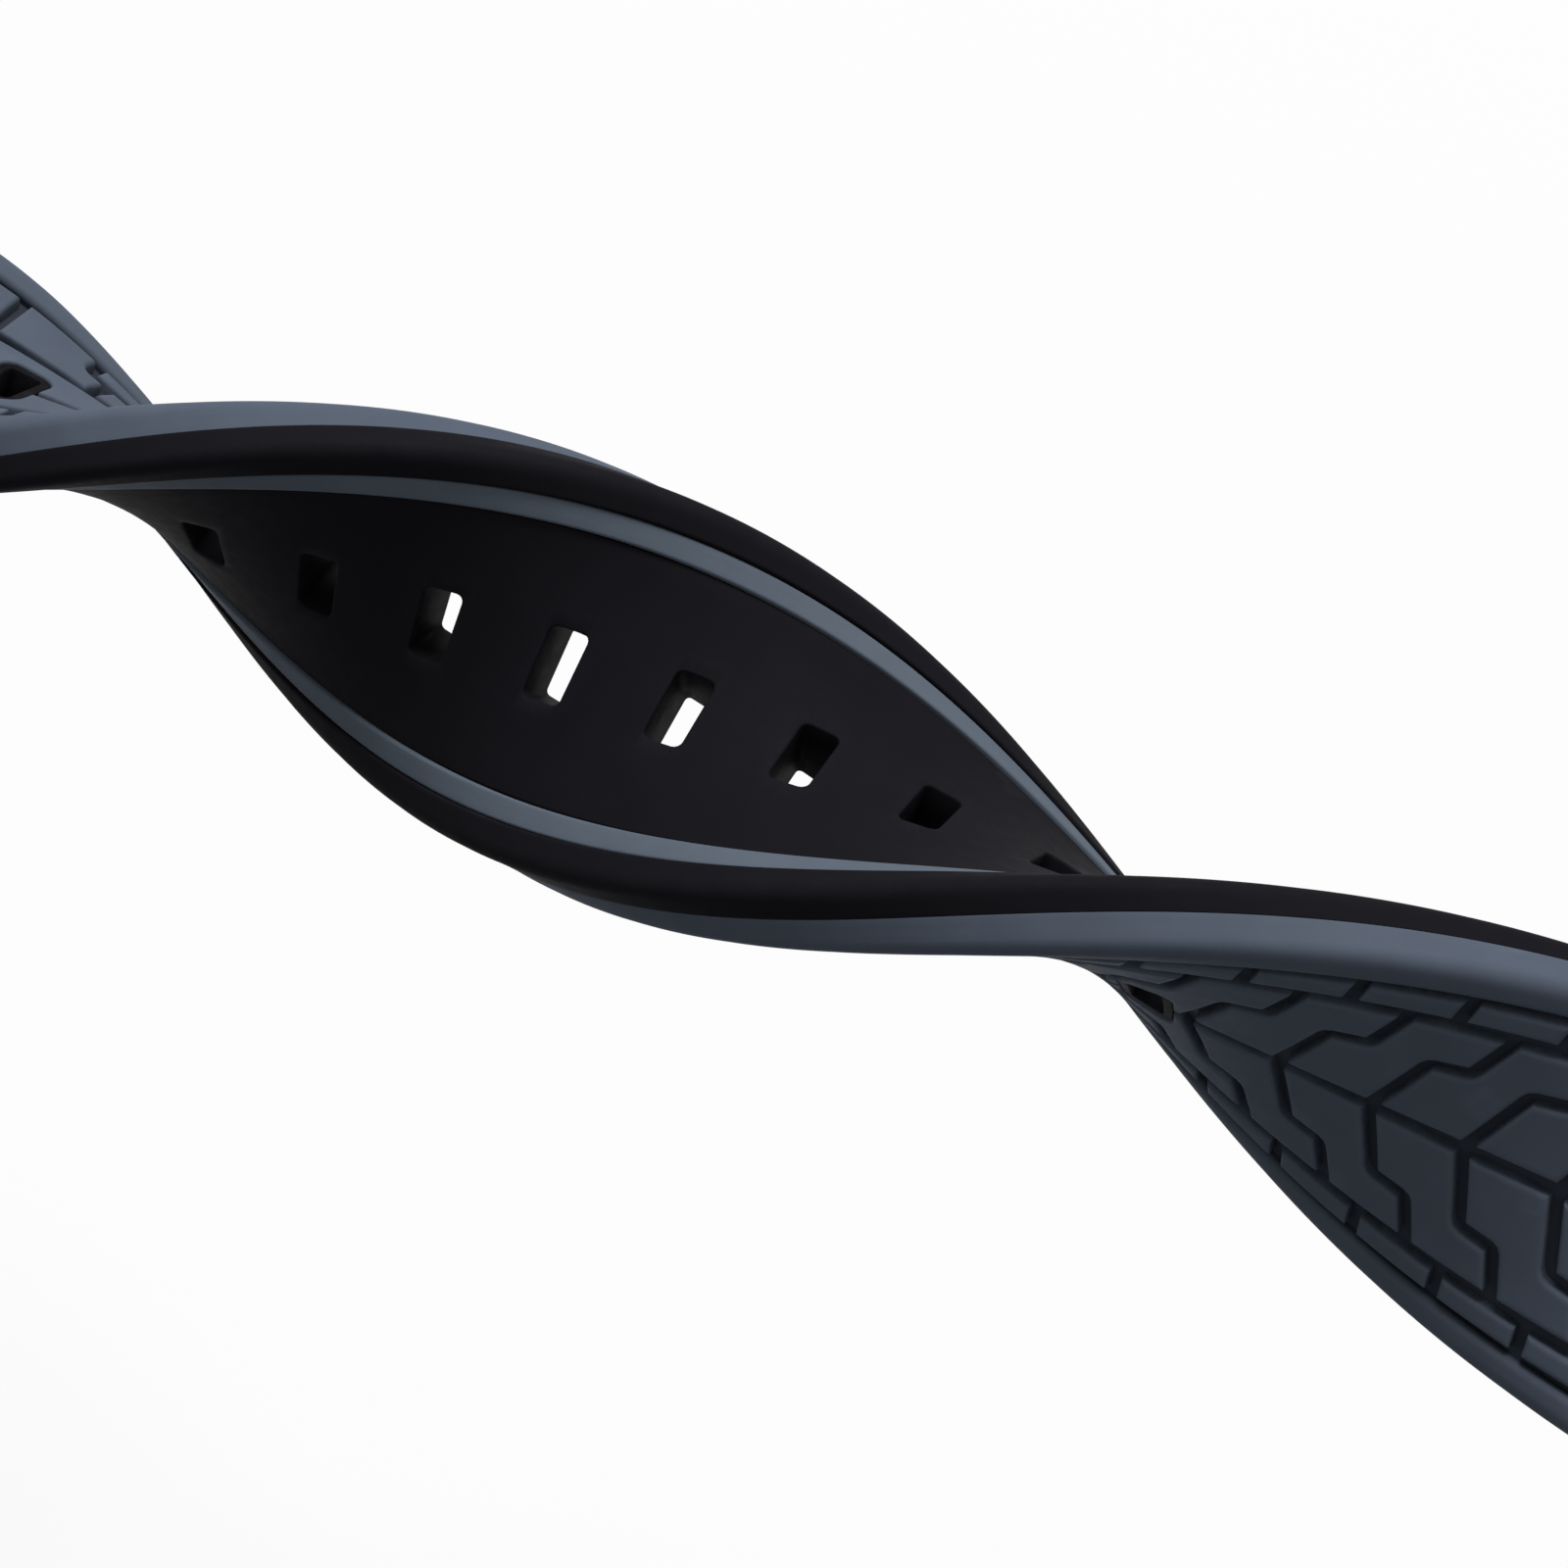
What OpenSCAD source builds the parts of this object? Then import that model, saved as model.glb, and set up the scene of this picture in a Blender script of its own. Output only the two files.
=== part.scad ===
// Two-colour silicone watch strap with a tyre tread face, worn black side in, tread side out.
// The long half is twisted by one turn between its bar, at the origin, and its flat tail.
// The tail lies on the short half, inside both keepers, and the buckle hangs open below.
// Millimetres, +Z up, the strap runs towards -X. Along a half, u is the distance from its watch bar,
// v is across the strap from its middle, and n is the height on the tread side of the colour seam.

/* [Strap] */
// Width of the strap at the watch
lug_w = 20; // [18:0.5:24]
// Width that each half loses over 100 mm of its length
taper = 3; // [0:0.25:4]
// Length of the long half, from its bar to its tip
long_len = 145; // [135:1:165]
// Length of the short half, from bar to bar
short_len = 75; // [65:1:90]
// Thickness of the black back body at its rims
back_t = 1.75; // [1.5:0.05:2.25]
// Thickness of the grey tread layer, with its blocks
tread_t = 1.95; // [1.6:0.05:2.4]
// Radius of the long edges
edge_r = 0.8; // [0.5:0.05:1]
// Full turns of twist in the long half
twist_turns = 1; // [0:1:1]
// Height of the arch that the twisted part makes between its flat ends
arch_h = 3.1; // [0:0.1:5]
// Length of the tail that lies flat inside the keepers
tail_flat = 22; // [20:0.5:26]
// Length over which the tail rounds in to its tip
tip_len = 5; // [4:0.5:8]

/* [Back of the strap] */
// Width of the black rim along each edge
back_rim_w = 1.7; // [1.3:0.05:2]
// Width of each grey stripe
stripe_w = 1.05; // [0.8:0.05:1.3]
// Depth of the groove that holds a stripe
stripe_groove = 0.8; // [0.6:0.05:1]
// How far the stripe's face lies below the rim
stripe_sink = 0.15; // [0:0.05:0.3]
// How far the centre panel lies below the rim
panel_sink = 0.35; // [0.1:0.05:0.5]

/* [Tread] */
// Distance from one tread block to the next along the strap
tread_pitch = 4.25; // [3.8:0.05:5]
// Width of the grooves that cross the strap
cross_groove_w = 0.45; // [0.3:0.05:0.6]
// Depth of all tread grooves
groove_d = 0.6; // [0.3:0.05:0.7]
// Width of the smooth grey rim along each edge
tread_rim_w = 1.65; // [1.4:0.05:2]

/* [Holes] */
// Distance from the bar to the first hole
first_hole = 50.2; // [46:0.1:54]
// Distance from hole to hole
hole_pitch = 5.83; // [5.4:0.01:6.2]
// Number of holes
hole_count = 14; // [8:1:15]
// Size of a hole across the strap
hole_w = 3.4; // [3:0.05:3.8]
// Size of a hole along the strap
hole_l = 1.75; // [1.5:0.05:2]
// Wall of the black collar that lines a hole through the tread
collar_w = 0.4; // [0.3:0.05:0.6]

/* [Spring bars] */
// Outer diameter of a spring bar's barrel
bar_d = 1.8; // [1.7:0.05:2]
// Diameter of the tips that go into the watch
tip_d = 0.8; // [0.7:0.05:0.9]
// Length of a tip that shows past the strap
tip_out = 0.9; // [0.7:0.05:1.1]
// Travel of a tip into its barrel
tip_travel = 1; // [0.8:0.05:1.2]
// Diameter of the rounded strap ends around the bars
end_d = 4.2; // [4:0.1:4.6]
// Diameter of the release knobs
knob_d = 1; // [0.8:0.05:1.2]
// Length of a release knob past the barrel
knob_out = 1.6; // [1.2:0.1:2]

/* [Keepers and buckle] */
// Width of a keeper along the strap
keeper_w = 5; // [4:0.25:6]
// Wall of a keeper
keeper_t = 1.3; // [1:0.05:1.6]
// Distance from the buckle bar to the middle of the fixed keeper
fixed_keeper_at = 7.5; // [7:0.25:9]
// Gap between the two keepers
keeper_gap = 3.5; // [3:0.25:5]
// Thickness of the buckle's arms
arm_t = 1.8; // [1.5:0.1:2.2]
// Reach of the buckle from its bar to the middle of its front bar
buckle_reach = 10.5; // [9.5:0.1:12]
// Width of the buckle tongue
tongue_w = 2.8; // [2.4:0.05:2.9]
// Thickness of the buckle tongue
tongue_t = 1.2; // [1:0.05:1.4]

/* [Hidden] */

$fn = 48;

BLACK = "#1e1c20";
GREY = "#4c5863";
STEEL = "#b9bcc0";

// The two halves share their modules, told apart by this number
LONG = 0;
SHORT = 1;

// Small gaps
seam_gap = 0.03;
stripe_gap = 0.07;
lay_gap = 0.3;
slide_gap = 0.35;
bar_gap = 0.05;
pin_gap = 0.05;

// Twist: places along the twisted part, from the bar's side, and the relative rate of turn at each
TWIST_SHAPE = [[0, 0], [0.10, 3.1], [0.22, 2.4], [0.47, 3.6], [0.72, 3.8], [0.89, 4.0], [1, 0]];
straight_end = 5;
twist_len = long_len - tail_flat - straight_end;

function add(list, i = 0) = i < len(list) ? list[i] + add(list, i + 1) : 0;

// Turn that one stretch of the twist shape gives up to place t
function stretch_turn(i, t) =
    let (from = TWIST_SHAPE[i], to = TWIST_SHAPE[i + 1])
    let (run = max(0, min(t, to[0]) - from[0]))
    from[1] * run + (to[1] - from[1]) / (to[0] - from[0]) * run * run / 2;
function turn_up_to(t) = add([for (i = [0 : len(TWIST_SHAPE) - 2]) stretch_turn(i, t)]);
whole_turn = turn_up_to(1);

function place_in_twist(u) = max(0, min(1, (u - straight_end) / twist_len));
function twist_at(u) = 360 * twist_turns * (turn_up_to(place_in_twist(u)) / whole_turn - 1);
function arch_at(u) = arch_h * (1 - cos(360 * place_in_twist(u))) / 2;

// Where the short half lies
short_drop = back_t + lay_gap + end_d / 2;
buckle_x = -(long_len - tail_flat + 2);
short_lug_x = buckle_x - short_len;

function long_point(u, v, n) =
    let (turn = twist_at(u))
    [-u, v * cos(turn) - n * sin(turn), arch_at(u) + v * sin(turn) + n * cos(turn)];
function short_point(u, v, n) = [short_lug_x + u, -v, n - short_drop];
function point_on(half, u, v, n) = half == LONG ? long_point(u, v, n) : short_point(u, v, n);

// Half the width at a place, and the share of it that is left in the rounded tip
tip_end_share = 0.4;
function half_width(u) = (lug_w - taper * u / 100) / 2;
function tip_share(half, u) =
    half == SHORT || u < long_len - tip_len ? 1 :
    let (t = (long_len - u) / tip_len)
    sqrt(1 - (1 - t) * (1 - t) * (1 - tip_end_share * tip_end_share));
function edge_at(half, u) = half_width(u) * tip_share(half, u);

// Tread columns from the rim to the middle: share of the inner width, how far the lines lean there,
// and 1 where a groove steps along the strap, so that its two sides keep apart across it
lean_bar = 5.75;
step_groove_w = 0.4;
TREAD_COLUMNS = [
    [1, lean_bar, 0], [0.955, lean_bar, 0], [0.82, lean_bar, 0],
    [0.78, 3.9, 0], [0.50, 3.0, 1], [0.47, 1.2, 1], [0.03, 0, 0]
];
// 1 where a column between these places is a raised bar or block
COLUMN_RAISED = [0, 1, 0, 1, 1, 1, 0, 1, 1, 1, 0, 1, 0];
COLUMNS = concat(
    TREAD_COLUMNS,
    [for (i = [len(TREAD_COLUMNS) - 1 : -1 : 0]) let (c = TREAD_COLUMNS[i]) [-c[0], c[1], c[2]]]
);
column_count = len(COLUMNS);

// Lines of the tread: straight ends, and a pair of leaning lines for each groove
tread_start = 4;
smooth_start = 4.4;
first_groove = tread_start + smooth_start + lean_bar;
function tread_end(half) = half == LONG ? long_len : short_len - tread_start;
function pattern_end(half) = half == LONG ? long_len - tip_len - 1.5 : tread_end(half) - 1.5;
function groove_count(half) = floor((pattern_end(half) - first_groove - cross_groove_w) / tread_pitch) + 1;
TIP_STEPS = [1, 0.75, 0.5, 0.25, 0.1, 0];
function end_lines(half) =
    half == LONG ? [for (s = TIP_STEPS) long_len - tip_len * s] : [tread_end(half)];
// Each line is its place at the middle, 1 if it leans, and which side of a groove it is
function tread_lines(half) = concat(
    [[tread_start, 0, 0]],
    [for (k = [0 : groove_count(half) - 1], side = [-1, 1])
        [first_groove + k * tread_pitch + (side + 1) / 2 * cross_groove_w, 1, side]],
    [for (u = end_lines(half)) [u, 0, 0]]
);
function straight_place(line) = line[0] - line[1] * lean_bar;
function groove_interval(half, i) = i % 2 == 1 && i < 2 * groove_count(half);
function block_interval(half, i) = i % 2 == 0 && i > 0 && i < 2 * groove_count(half);
function raised(half, i, c) =
    groove_interval(half, i) ? 0 : block_interval(half, i) ? COLUMN_RAISED[c] : 1;

// Cross places of the flat seam face, as shares of the edge
SEAM_SHARES = [1, 0.66, 0.33, 0, -0.33, -0.66, -1];

// One ring of the tread layer: its sides and seam face, then each column's top and floor
side_count = len(SEAM_SHARES) + 6;
function tread_ring(half, line) =
    let (u = straight_place(line), edge = edge_at(half, u), corner = edge_r * tip_share(half, u))
    let (inner = edge - tread_rim_w * tip_share(half, u))
    concat(
        [point_on(half, u, edge - corner, tread_t)],
        [point_on(half, u, edge - 0.3 * corner, tread_t - 0.3 * edge_r)],
        [point_on(half, u, edge, tread_t - edge_r)],
        [for (share = SEAM_SHARES) point_on(half, u, edge * share, seam_gap)],
        [point_on(half, u, -edge, tread_t - edge_r)],
        [point_on(half, u, -edge + 0.3 * corner, tread_t - 0.3 * edge_r)],
        [point_on(half, u, -edge + corner, tread_t)],
        [for (column = COLUMNS, n = [tread_t, tread_t - groove_d])
            let (at = line[0] - line[1] * column[1])
            let (apart = sign(column[0]) * column[2] * line[2] * step_groove_w / 2)
            point_on(half, at, inner * column[0] + apart, n)]
    );

function two_triangles(a, b, c, d) = [[a, b, c], [a, c, d]];
function wall(up, a, b, c, d) =
    up == 0 ? [] : up > 0 ? two_triangles(a, b, c, d) : two_triangles(d, c, b, a);
function joined(lists) = [for (list = lists, item = list) item];

module tread_mesh(half) {
    lines = tread_lines(half);
    size = side_count + 2 * column_count;
    last = len(lines) - 1;
    points = joined([for (line = lines) tread_ring(half, line)]);
    // Numbers of the top and floor points of a column, and of a point on the outside chain
    function top(i, c) = i * size + side_count + 2 * c;
    function low(i, c) = top(i, c) + 1;
    function out(i, k) = k == -1 ? top(i, 0) : k == side_count ? top(i, column_count - 1) : i * size + k;
    outside = joined([for (i = [0 : last - 1], k = [-1 : side_count - 1])
        two_triangles(out(i, k), out(i + 1, k), out(i + 1, k + 1), out(i, k + 1))]);
    faces_on_top = joined([for (i = [0 : last - 1], c = [0 : column_count - 2])
        raised(half, i, c) == 1
            ? two_triangles(top(i, c), top(i, c + 1), top(i + 1, c + 1), top(i + 1, c))
            : two_triangles(low(i, c), low(i, c + 1), low(i + 1, c + 1), low(i + 1, c))]);
    walls_along = joined([for (i = [0 : last - 1], c = [0 : column_count - 1])
        let (before = c == 0 ? 1 : raised(half, i, c - 1))
        let (after = c == column_count - 1 ? 1 : raised(half, i, c))
        wall(before - after, top(i, c), low(i, c), low(i + 1, c), top(i + 1, c))]);
    walls_across = joined([for (i = [1 : last - 1], c = [0 : column_count - 2])
        wall(raised(half, i - 1, c) - raised(half, i, c),
            top(i, c), top(i, c + 1), low(i, c + 1), low(i, c))]);
    // An end face is a fan from the side point, which lies in line with no other edge
    loop = concat(
        [for (k = [2 : side_count - 1]) k],
        [for (c = [column_count - 1 : -1 : 0]) side_count + 2 * c],
        [0, 1]
    );
    ends = joined([for (j = [1 : len(loop) - 2])
        [[loop[0], loop[j], loop[j + 1]],
         [last * size + loop[0], last * size + loop[j + 1], last * size + loop[j]]]]);
    polyhedron(points, concat(outside, faces_on_top, walls_along, walls_across, ends), convexity = 10);
}

// A closed outline swept along a half, ring after ring. What lies in a groove is split along the same
// diagonals as the groove, so that the two stay parallel where they twist.
module sweep(rings, in_groove = false) {
    size = len(rings[0]);
    last = len(rings) - 1;
    sides = joined([for (i = [0 : last - 1], k = [0 : size - 1])
        let (next = (k + 1) % size, a = i * size + k, b = i * size + next)
        in_groove ? two_triangles(b, b + size, a + size, a) : two_triangles(a, b, b + size, a + size)]);
    ends = joined([for (j = [1 : size - 2])
        [[0, j + 1, j], [last * size, last * size + j, last * size + j + 1]]]);
    polyhedron(joined(rings), concat(sides, ends), convexity = 10);
}

// The back body starts inside the black end, and its grooves and panel close before they reach it
body_start = 3.5;
stripe_start = 5;
function stripe_end(half) = half == LONG ? long_len - tip_len - 3 : short_len - stripe_start;
function body_places(half) = concat(
    [body_start],
    [for (line = tread_lines(half)) straight_place(line)],
    half == SHORT ? [short_len - body_start] : []
);
function grooves_open(half, u) = u > stripe_start && u < stripe_end(half) ? 1 : 0;

// The back body's outline at one place; it starts at the side, where a fan over a closed outline is sound
function back_ring(half, u) =
    let (share = tip_share(half, u), edge = edge_at(half, u))
    let (corner = edge_r * share, open = grooves_open(half, u))
    let (groove_out = edge - back_rim_w * share, groove_in = edge - (back_rim_w + stripe_w) * share)
    let (floor_n = open * stripe_groove - back_t, panel_n = open * panel_sink - back_t)
    [for (p = concat(
        [[edge, edge_r - back_t]],
        [for (s = SEAM_SHARES) [edge * s, 0]],
        [[-edge, edge_r - back_t], [-edge + 0.3 * corner, 0.3 * edge_r - back_t], [-edge + corner, -back_t]],
        [[-groove_out, -back_t], [-groove_out, floor_n], [-groove_in, floor_n], [-groove_in, panel_n]],
        [[-groove_in / 2, panel_n], [0, panel_n], [groove_in / 2, panel_n]],
        [[groove_in, panel_n], [groove_in, floor_n], [groove_out, floor_n], [groove_out, -back_t]],
        [[edge - corner, -back_t], [edge - 0.3 * corner, 0.3 * edge_r - back_t]]
    )) point_on(half, u, p[0], p[1])];

module back_sweep(half) {
    sweep([for (u = body_places(half)) back_ring(half, u)]);
}

function stripe_places(half) = [for (u = body_places(half)) if (grooves_open(half, u) == 1) u];
function stripe_ring(half, u, side) =
    let (out = edge_at(half, u) - back_rim_w - stripe_gap, in = out - stripe_w + 2 * stripe_gap)
    let (bottom = -back_t + stripe_groove - stripe_gap, face = -back_t + stripe_sink)
    [for (p = side > 0 ? [[out, bottom], [in, bottom], [in, face], [out, face]]
        : [[-in, bottom], [-out, bottom], [-out, face], [-in, face]]) point_on(half, u, p[0], p[1])];

module stripe(half, side) {
    color(GREY) sweep([for (u = stripe_places(half)) stripe_ring(half, u, side)], true);
}

// Local frame on a half: x towards the watch bar, y across, z out of the tread
module on_long(u) {
    translate([-u, 0, arch_at(u)]) rotate([twist_at(u), 0, 0]) children();
}

// A rod of a hole's outline at each hole, grown by a margin, between two heights
hole_corner = 0.35;
module hole_rods(margin, from_n, to_n) {
    half_w = hole_w / 2 + margin;
    half_l = hole_l / 2 + margin;
    corner = hole_corner + margin / 2;
    for (k = [0 : hole_count - 1])
        on_long(first_hole + k * hole_pitch)
            translate([0, 0, from_n])
                linear_extrude(to_n - from_n)
                    polygon([
                        [half_l, half_w - corner], [half_l - corner, half_w],
                        [corner - half_l, half_w], [-half_l, half_w - corner],
                        [-half_l, corner - half_w], [corner - half_l, -half_w],
                        [half_l - corner, -half_w], [half_l, corner - half_w]
                    ]);
}

// The collars rise from the back body to just under the tread's face
collar_sink = 0.1;
collar_root = 0.5;
module collars() { hole_rods(collar_w, -collar_root, tread_t - collar_sink); }
module hole_cutters(margin) { hole_rods(margin, -2 * back_t, 2 * tread_t); }

// Puts a piece that is drawn at a bar, with the strap towards -X, at one of the three bars
module at_long_bar() { children(); }
module at_short_bar() { translate([short_lug_x, 0, -short_drop]) rotate([0, 0, 180]) children(); }
module at_buckle_bar() { translate([buckle_x, 0, -short_drop]) children(); }

module across(length, r) {
    rotate([90, 0, 0]) cylinder(r = r, h = length, center = true);
}

// Black end around a bar: a round nose that runs into the strap's full thickness
module black_end(length) {
    end_r = end_d / 2;
    face_x = -(tread_start - 0.05);
    difference() {
        union() {
            across(length, end_r);
            rotate([90, 0, 0])
                linear_extrude(length, center = true)
                    polygon([[0, -end_r], [0, end_r], [face_x, tread_t], [face_x, -back_t]]);
        }
        across(length + 1, bar_d / 2 + bar_gap);
    }
}

end_side_gap = 0.1;
lug_end_w = lug_w - 2 * end_side_gap;
// The release knob's window is open to the back, near the right-hand end of the bar
knob_y = lug_end_w / 2 - 2.4;
window_gap = 0.3;
module knob_window() {
    translate([-knob_d, knob_y - knob_d / 2 - tip_travel - window_gap, -end_d])
        cube([2 * knob_d, knob_d + tip_travel + 2 * window_gap, end_d]);
}

// The strap steps in at the buckle, beside the buckle's arms
buckle_shoulder = 0.375;
buckle_end_w = 2 * (half_width(short_len) - buckle_shoulder);
slot_gap = 0.3;
tongue_slot_l = 2.4;
module tongue_slot() {
    translate([-tongue_slot_l, -tongue_w / 2 - slot_gap, -end_d])
        cube([tongue_slot_l + end_d, tongue_w + 2 * slot_gap, 2 * end_d]);
}

module long_back_body() {
    color(BLACK)
    difference() {
        union() {
            back_sweep(LONG);
            black_end(lug_end_w);
            collars();
        }
        hole_cutters(0);
        knob_window();
    }
}

module long_tread_layer() {
    color(GREY)
    difference() {
        tread_mesh(LONG);
        hole_cutters(collar_w + seam_gap);
    }
}

module long_stripe_left() { stripe(LONG, -1); }
module long_stripe_right() { stripe(LONG, 1); }

module short_back_body() {
    color(BLACK)
    difference() {
        union() {
            back_sweep(SHORT);
            at_short_bar() black_end(lug_end_w);
            at_buckle_bar() black_end(buckle_end_w);
        }
        at_short_bar() knob_window();
        at_buckle_bar() tongue_slot();
    }
}

module short_tread_layer() { color(GREY) tread_mesh(SHORT); }
module short_stripe_left() { stripe(SHORT, -1); }
module short_stripe_right() { stripe(SHORT, 1); }

// Spring bars: a barrel with a lip at each end, which holds the shank of the tip behind it. The tip's
// neck runs in the lip, and its thinner pin starts just past the strap's side.
lip_l = 0.5;
lip_step = 0.13;
neck_step = 0.16;
shoulder_gap = 0.05;
shank_l = 3;
tip_chamfer = 0.15;
barrel_inset = 0.1;
pin_r = tip_d / 2;
neck_r = pin_r + neck_step;
bore_r = neck_r + lip_step;
shank_r = bore_r - pin_gap;

module barrel(length, has_knob_slot) {
    color(STEEL)
    difference() {
        across(length, bar_d / 2);
        across(length - 2 * lip_l, bore_r);
        across(length + 1, neck_r + pin_gap);
        if (has_knob_slot)
            translate([-knob_d / 2, knob_y - knob_d / 2 - tip_travel - pin_gap, -bar_d])
                cube([knob_d, knob_d + tip_travel + 2 * pin_gap, bar_d]);
    }
}

// Tip on one side of a barrel of this length, with its pin standing this far past the barrel's end
module bar_tip(length, pin_past, side) {
    shank_out = length / 2 - lip_l - pin_gap;
    neck_out = length / 2 + barrel_inset + shoulder_gap;
    pin_out = length / 2 + pin_past;
    color(STEEL)
    rotate([side > 0 ? -90 : 90, 0, 0])
        rotate_extrude()
            polygon([
                [0, shank_out - shank_l], [shank_r, shank_out - shank_l], [shank_r, shank_out],
                [neck_r, shank_out], [neck_r, neck_out], [pin_r, neck_out],
                [pin_r, pin_out - tip_chamfer], [pin_r - tip_chamfer, pin_out], [0, pin_out]
            ]);
}

// Coil of round wire between the two shanks, one unbroken tube
wire_d = 0.2;
coil_gap = 0.06;
coil_turns = 5;
coil_steps = 8;
wire_sides = 6;
module coil(length) {
    reach = length / 2 - lip_l - pin_gap - shank_l;
    coil_r = bore_r - wire_d / 2 - coil_gap;
    rise = 2 * (reach - wire_d);
    count = coil_turns * coil_steps;
    lean = atan2(rise, coil_turns * 2 * PI * coil_r);
    echo("least gap between turns of the coil", rise / coil_turns * cos(lean) - wire_d);
    color(STEEL)
    sweep([for (i = [0 : count])
        let (turn = 360 * i / coil_steps, y = rise * (i / count - 0.5))
        [for (k = [0 : wire_sides - 1])
            let (a = 360 * k / wire_sides, r = coil_r + wire_d / 2 * cos(a), w = wire_d / 2 * sin(a))
            [r * cos(turn) + w * sin(lean) * sin(turn), y + w * cos(lean),
                w * sin(lean) * cos(turn) - r * sin(turn)]]
    ]);
}

// Knob of a release tip, seated on its shank and standing out of the back of the strap
knob_seat = 0.02;
module release_knob() {
    color(STEEL)
    translate([0, knob_y, -bar_d / 2 - knob_out])
        cylinder(r = knob_d / 2 - pin_gap, h = knob_out + bar_d / 2 - shank_r + knob_seat);
}

lug_barrel = lug_end_w - 2 * barrel_inset;
lug_pin_past = tip_out + barrel_inset;
module long_bar_barrel() { at_long_bar() barrel(lug_barrel, true); }
module long_bar_spring() { at_long_bar() coil(lug_barrel); }
module long_bar_tip() { at_long_bar() bar_tip(lug_barrel, lug_pin_past, -1); }
module long_bar_release_tip() { at_long_bar() bar_tip(lug_barrel, lug_pin_past, 1); }
module long_bar_release_knob() { at_long_bar() release_knob(); }
module short_bar_barrel() { at_short_bar() barrel(lug_barrel, true); }
module short_bar_spring() { at_short_bar() coil(lug_barrel); }
module short_bar_tip() { at_short_bar() bar_tip(lug_barrel, lug_pin_past, -1); }
module short_bar_release_tip() { at_short_bar() bar_tip(lug_barrel, lug_pin_past, 1); }
module short_bar_release_knob() { at_short_bar() release_knob(); }

// The buckle bar's tips reach into the eyes of the frame's arms
arm_gap = 0.25;
frame_in = buckle_end_w / 2 + arm_gap;
buckle_barrel = buckle_end_w - 2 * barrel_inset;
pin_hold = tip_travel - 0.1;
eye_depth = pin_hold + 0.2;
buckle_pin_past = barrel_inset + arm_gap + pin_hold;
module buckle_bar_barrel() { at_buckle_bar() barrel(buckle_barrel, false); }
module buckle_bar_spring() { at_buckle_bar() coil(buckle_barrel); }
module buckle_bar_tip_left() { at_buckle_bar() bar_tip(buckle_barrel, buckle_pin_past, -1); }
module buckle_bar_tip_right() { at_buckle_bar() bar_tip(buckle_barrel, buckle_pin_past, 1); }

// Keepers: closed loops around the short half and the tail
function keeper_u(x) = x - short_lug_x;
function keeper_in(x) = half_width(keeper_u(x) - keeper_w / 2) + slide_gap;
module keeper(x, seat_gap) {
    inner = keeper_in(x);
    corner = 1.2;
    low = -short_drop - back_t - seat_gap;
    high = tread_t + slide_gap;
    color(BLACK)
    translate([x + keeper_w / 2, 0, 0])
        rotate([90, 0, -90])
            linear_extrude(keeper_w)
                difference() {
                    translate([-inner - keeper_t, low - keeper_t])
                        rounded_box(2 * (inner + keeper_t), high - low + 2 * keeper_t, corner);
                    translate([-inner, low]) square([2 * inner, high - low]);
                }
}

// A rectangle with round corners
module rounded_box(w, h, corner) {
    translate([0, corner]) square([w, h - 2 * corner]);
    translate([corner, 0]) square([w - 2 * corner, h]);
    for (x = [corner, w - corner], y = [corner, h - corner]) translate([x, y]) circle(r = corner);
}

fixed_keeper_x = buckle_x - fixed_keeper_at;
free_keeper_x = fixed_keeper_x - keeper_w - keeper_gap;
module fixed_keeper() { keeper(fixed_keeper_x, 0); }
module free_keeper() { keeper(free_keeper_x, slide_gap); }

// Buckle frame, hanging: two arms from the bar's eyes down to a front bar
eye_r = 1.9;
arm_w = 2.2;
front_r = 1.1;
frame_corner = 3;
module arm_profile() {
    circle(r = eye_r);
    translate([-arm_w / 2, -buckle_reach]) square([arm_w, buckle_reach]);
}

module buckle_frame() {
    outer = frame_in + arm_t;
    color(STEEL)
    at_buckle_bar()
    difference() {
        intersection() {
            union() {
                for (side = [-1, 1])
                    translate([0, side * (frame_in + arm_t / 2), 0])
                        rotate([90, 0, 0])
                            linear_extrude(arm_t, center = true) arm_profile();
                translate([0, 0, -buckle_reach]) across(2 * outer, front_r);
            }
            // Rounds the two front corners, seen from the face
            rotate([90, 0, 90])
                linear_extrude(4 * eye_r, center = true) {
                    translate([-outer, frame_corner - buckle_reach - front_r])
                        square([2 * outer, buckle_reach + 2 * eye_r]);
                    translate([frame_corner - outer, -buckle_reach - front_r])
                        square([2 * (outer - frame_corner), frame_corner]);
                    for (side = [-1, 1])
                        translate([side * (outer - frame_corner), frame_corner - buckle_reach - front_r])
                            circle(r = frame_corner);
                }
        }
        across(2 * (frame_in + eye_depth), pin_r + pin_gap);
    }
}

// Tongue: a ring around the bar and a flat shaft that rests on the front bar
tongue_ring_r = 1.75;
tongue_past = 1.4;
tongue_rest = 0.02;
module buckle_tongue() {
    near_x = front_r + tongue_rest;
    color(STEEL)
    at_buckle_bar()
    rotate([90, 0, 0])
        difference() {
            linear_extrude(tongue_w, center = true) {
                circle(r = tongue_ring_r);
                polygon([
                    [0, -1], [near_x, -2.6], [near_x, -buckle_reach - tongue_past],
                    [near_x + tongue_t / 2, -buckle_reach - tongue_past - 0.5],
                    [near_x + tongue_t, -buckle_reach - tongue_past], [near_x + tongue_t, -2.2],
                    [tongue_ring_r - 0.1, -0.7]
                ]);
            }
            cylinder(r = bar_d / 2 + bar_gap, h = 2 * tongue_w, center = true);
        }
}

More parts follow.
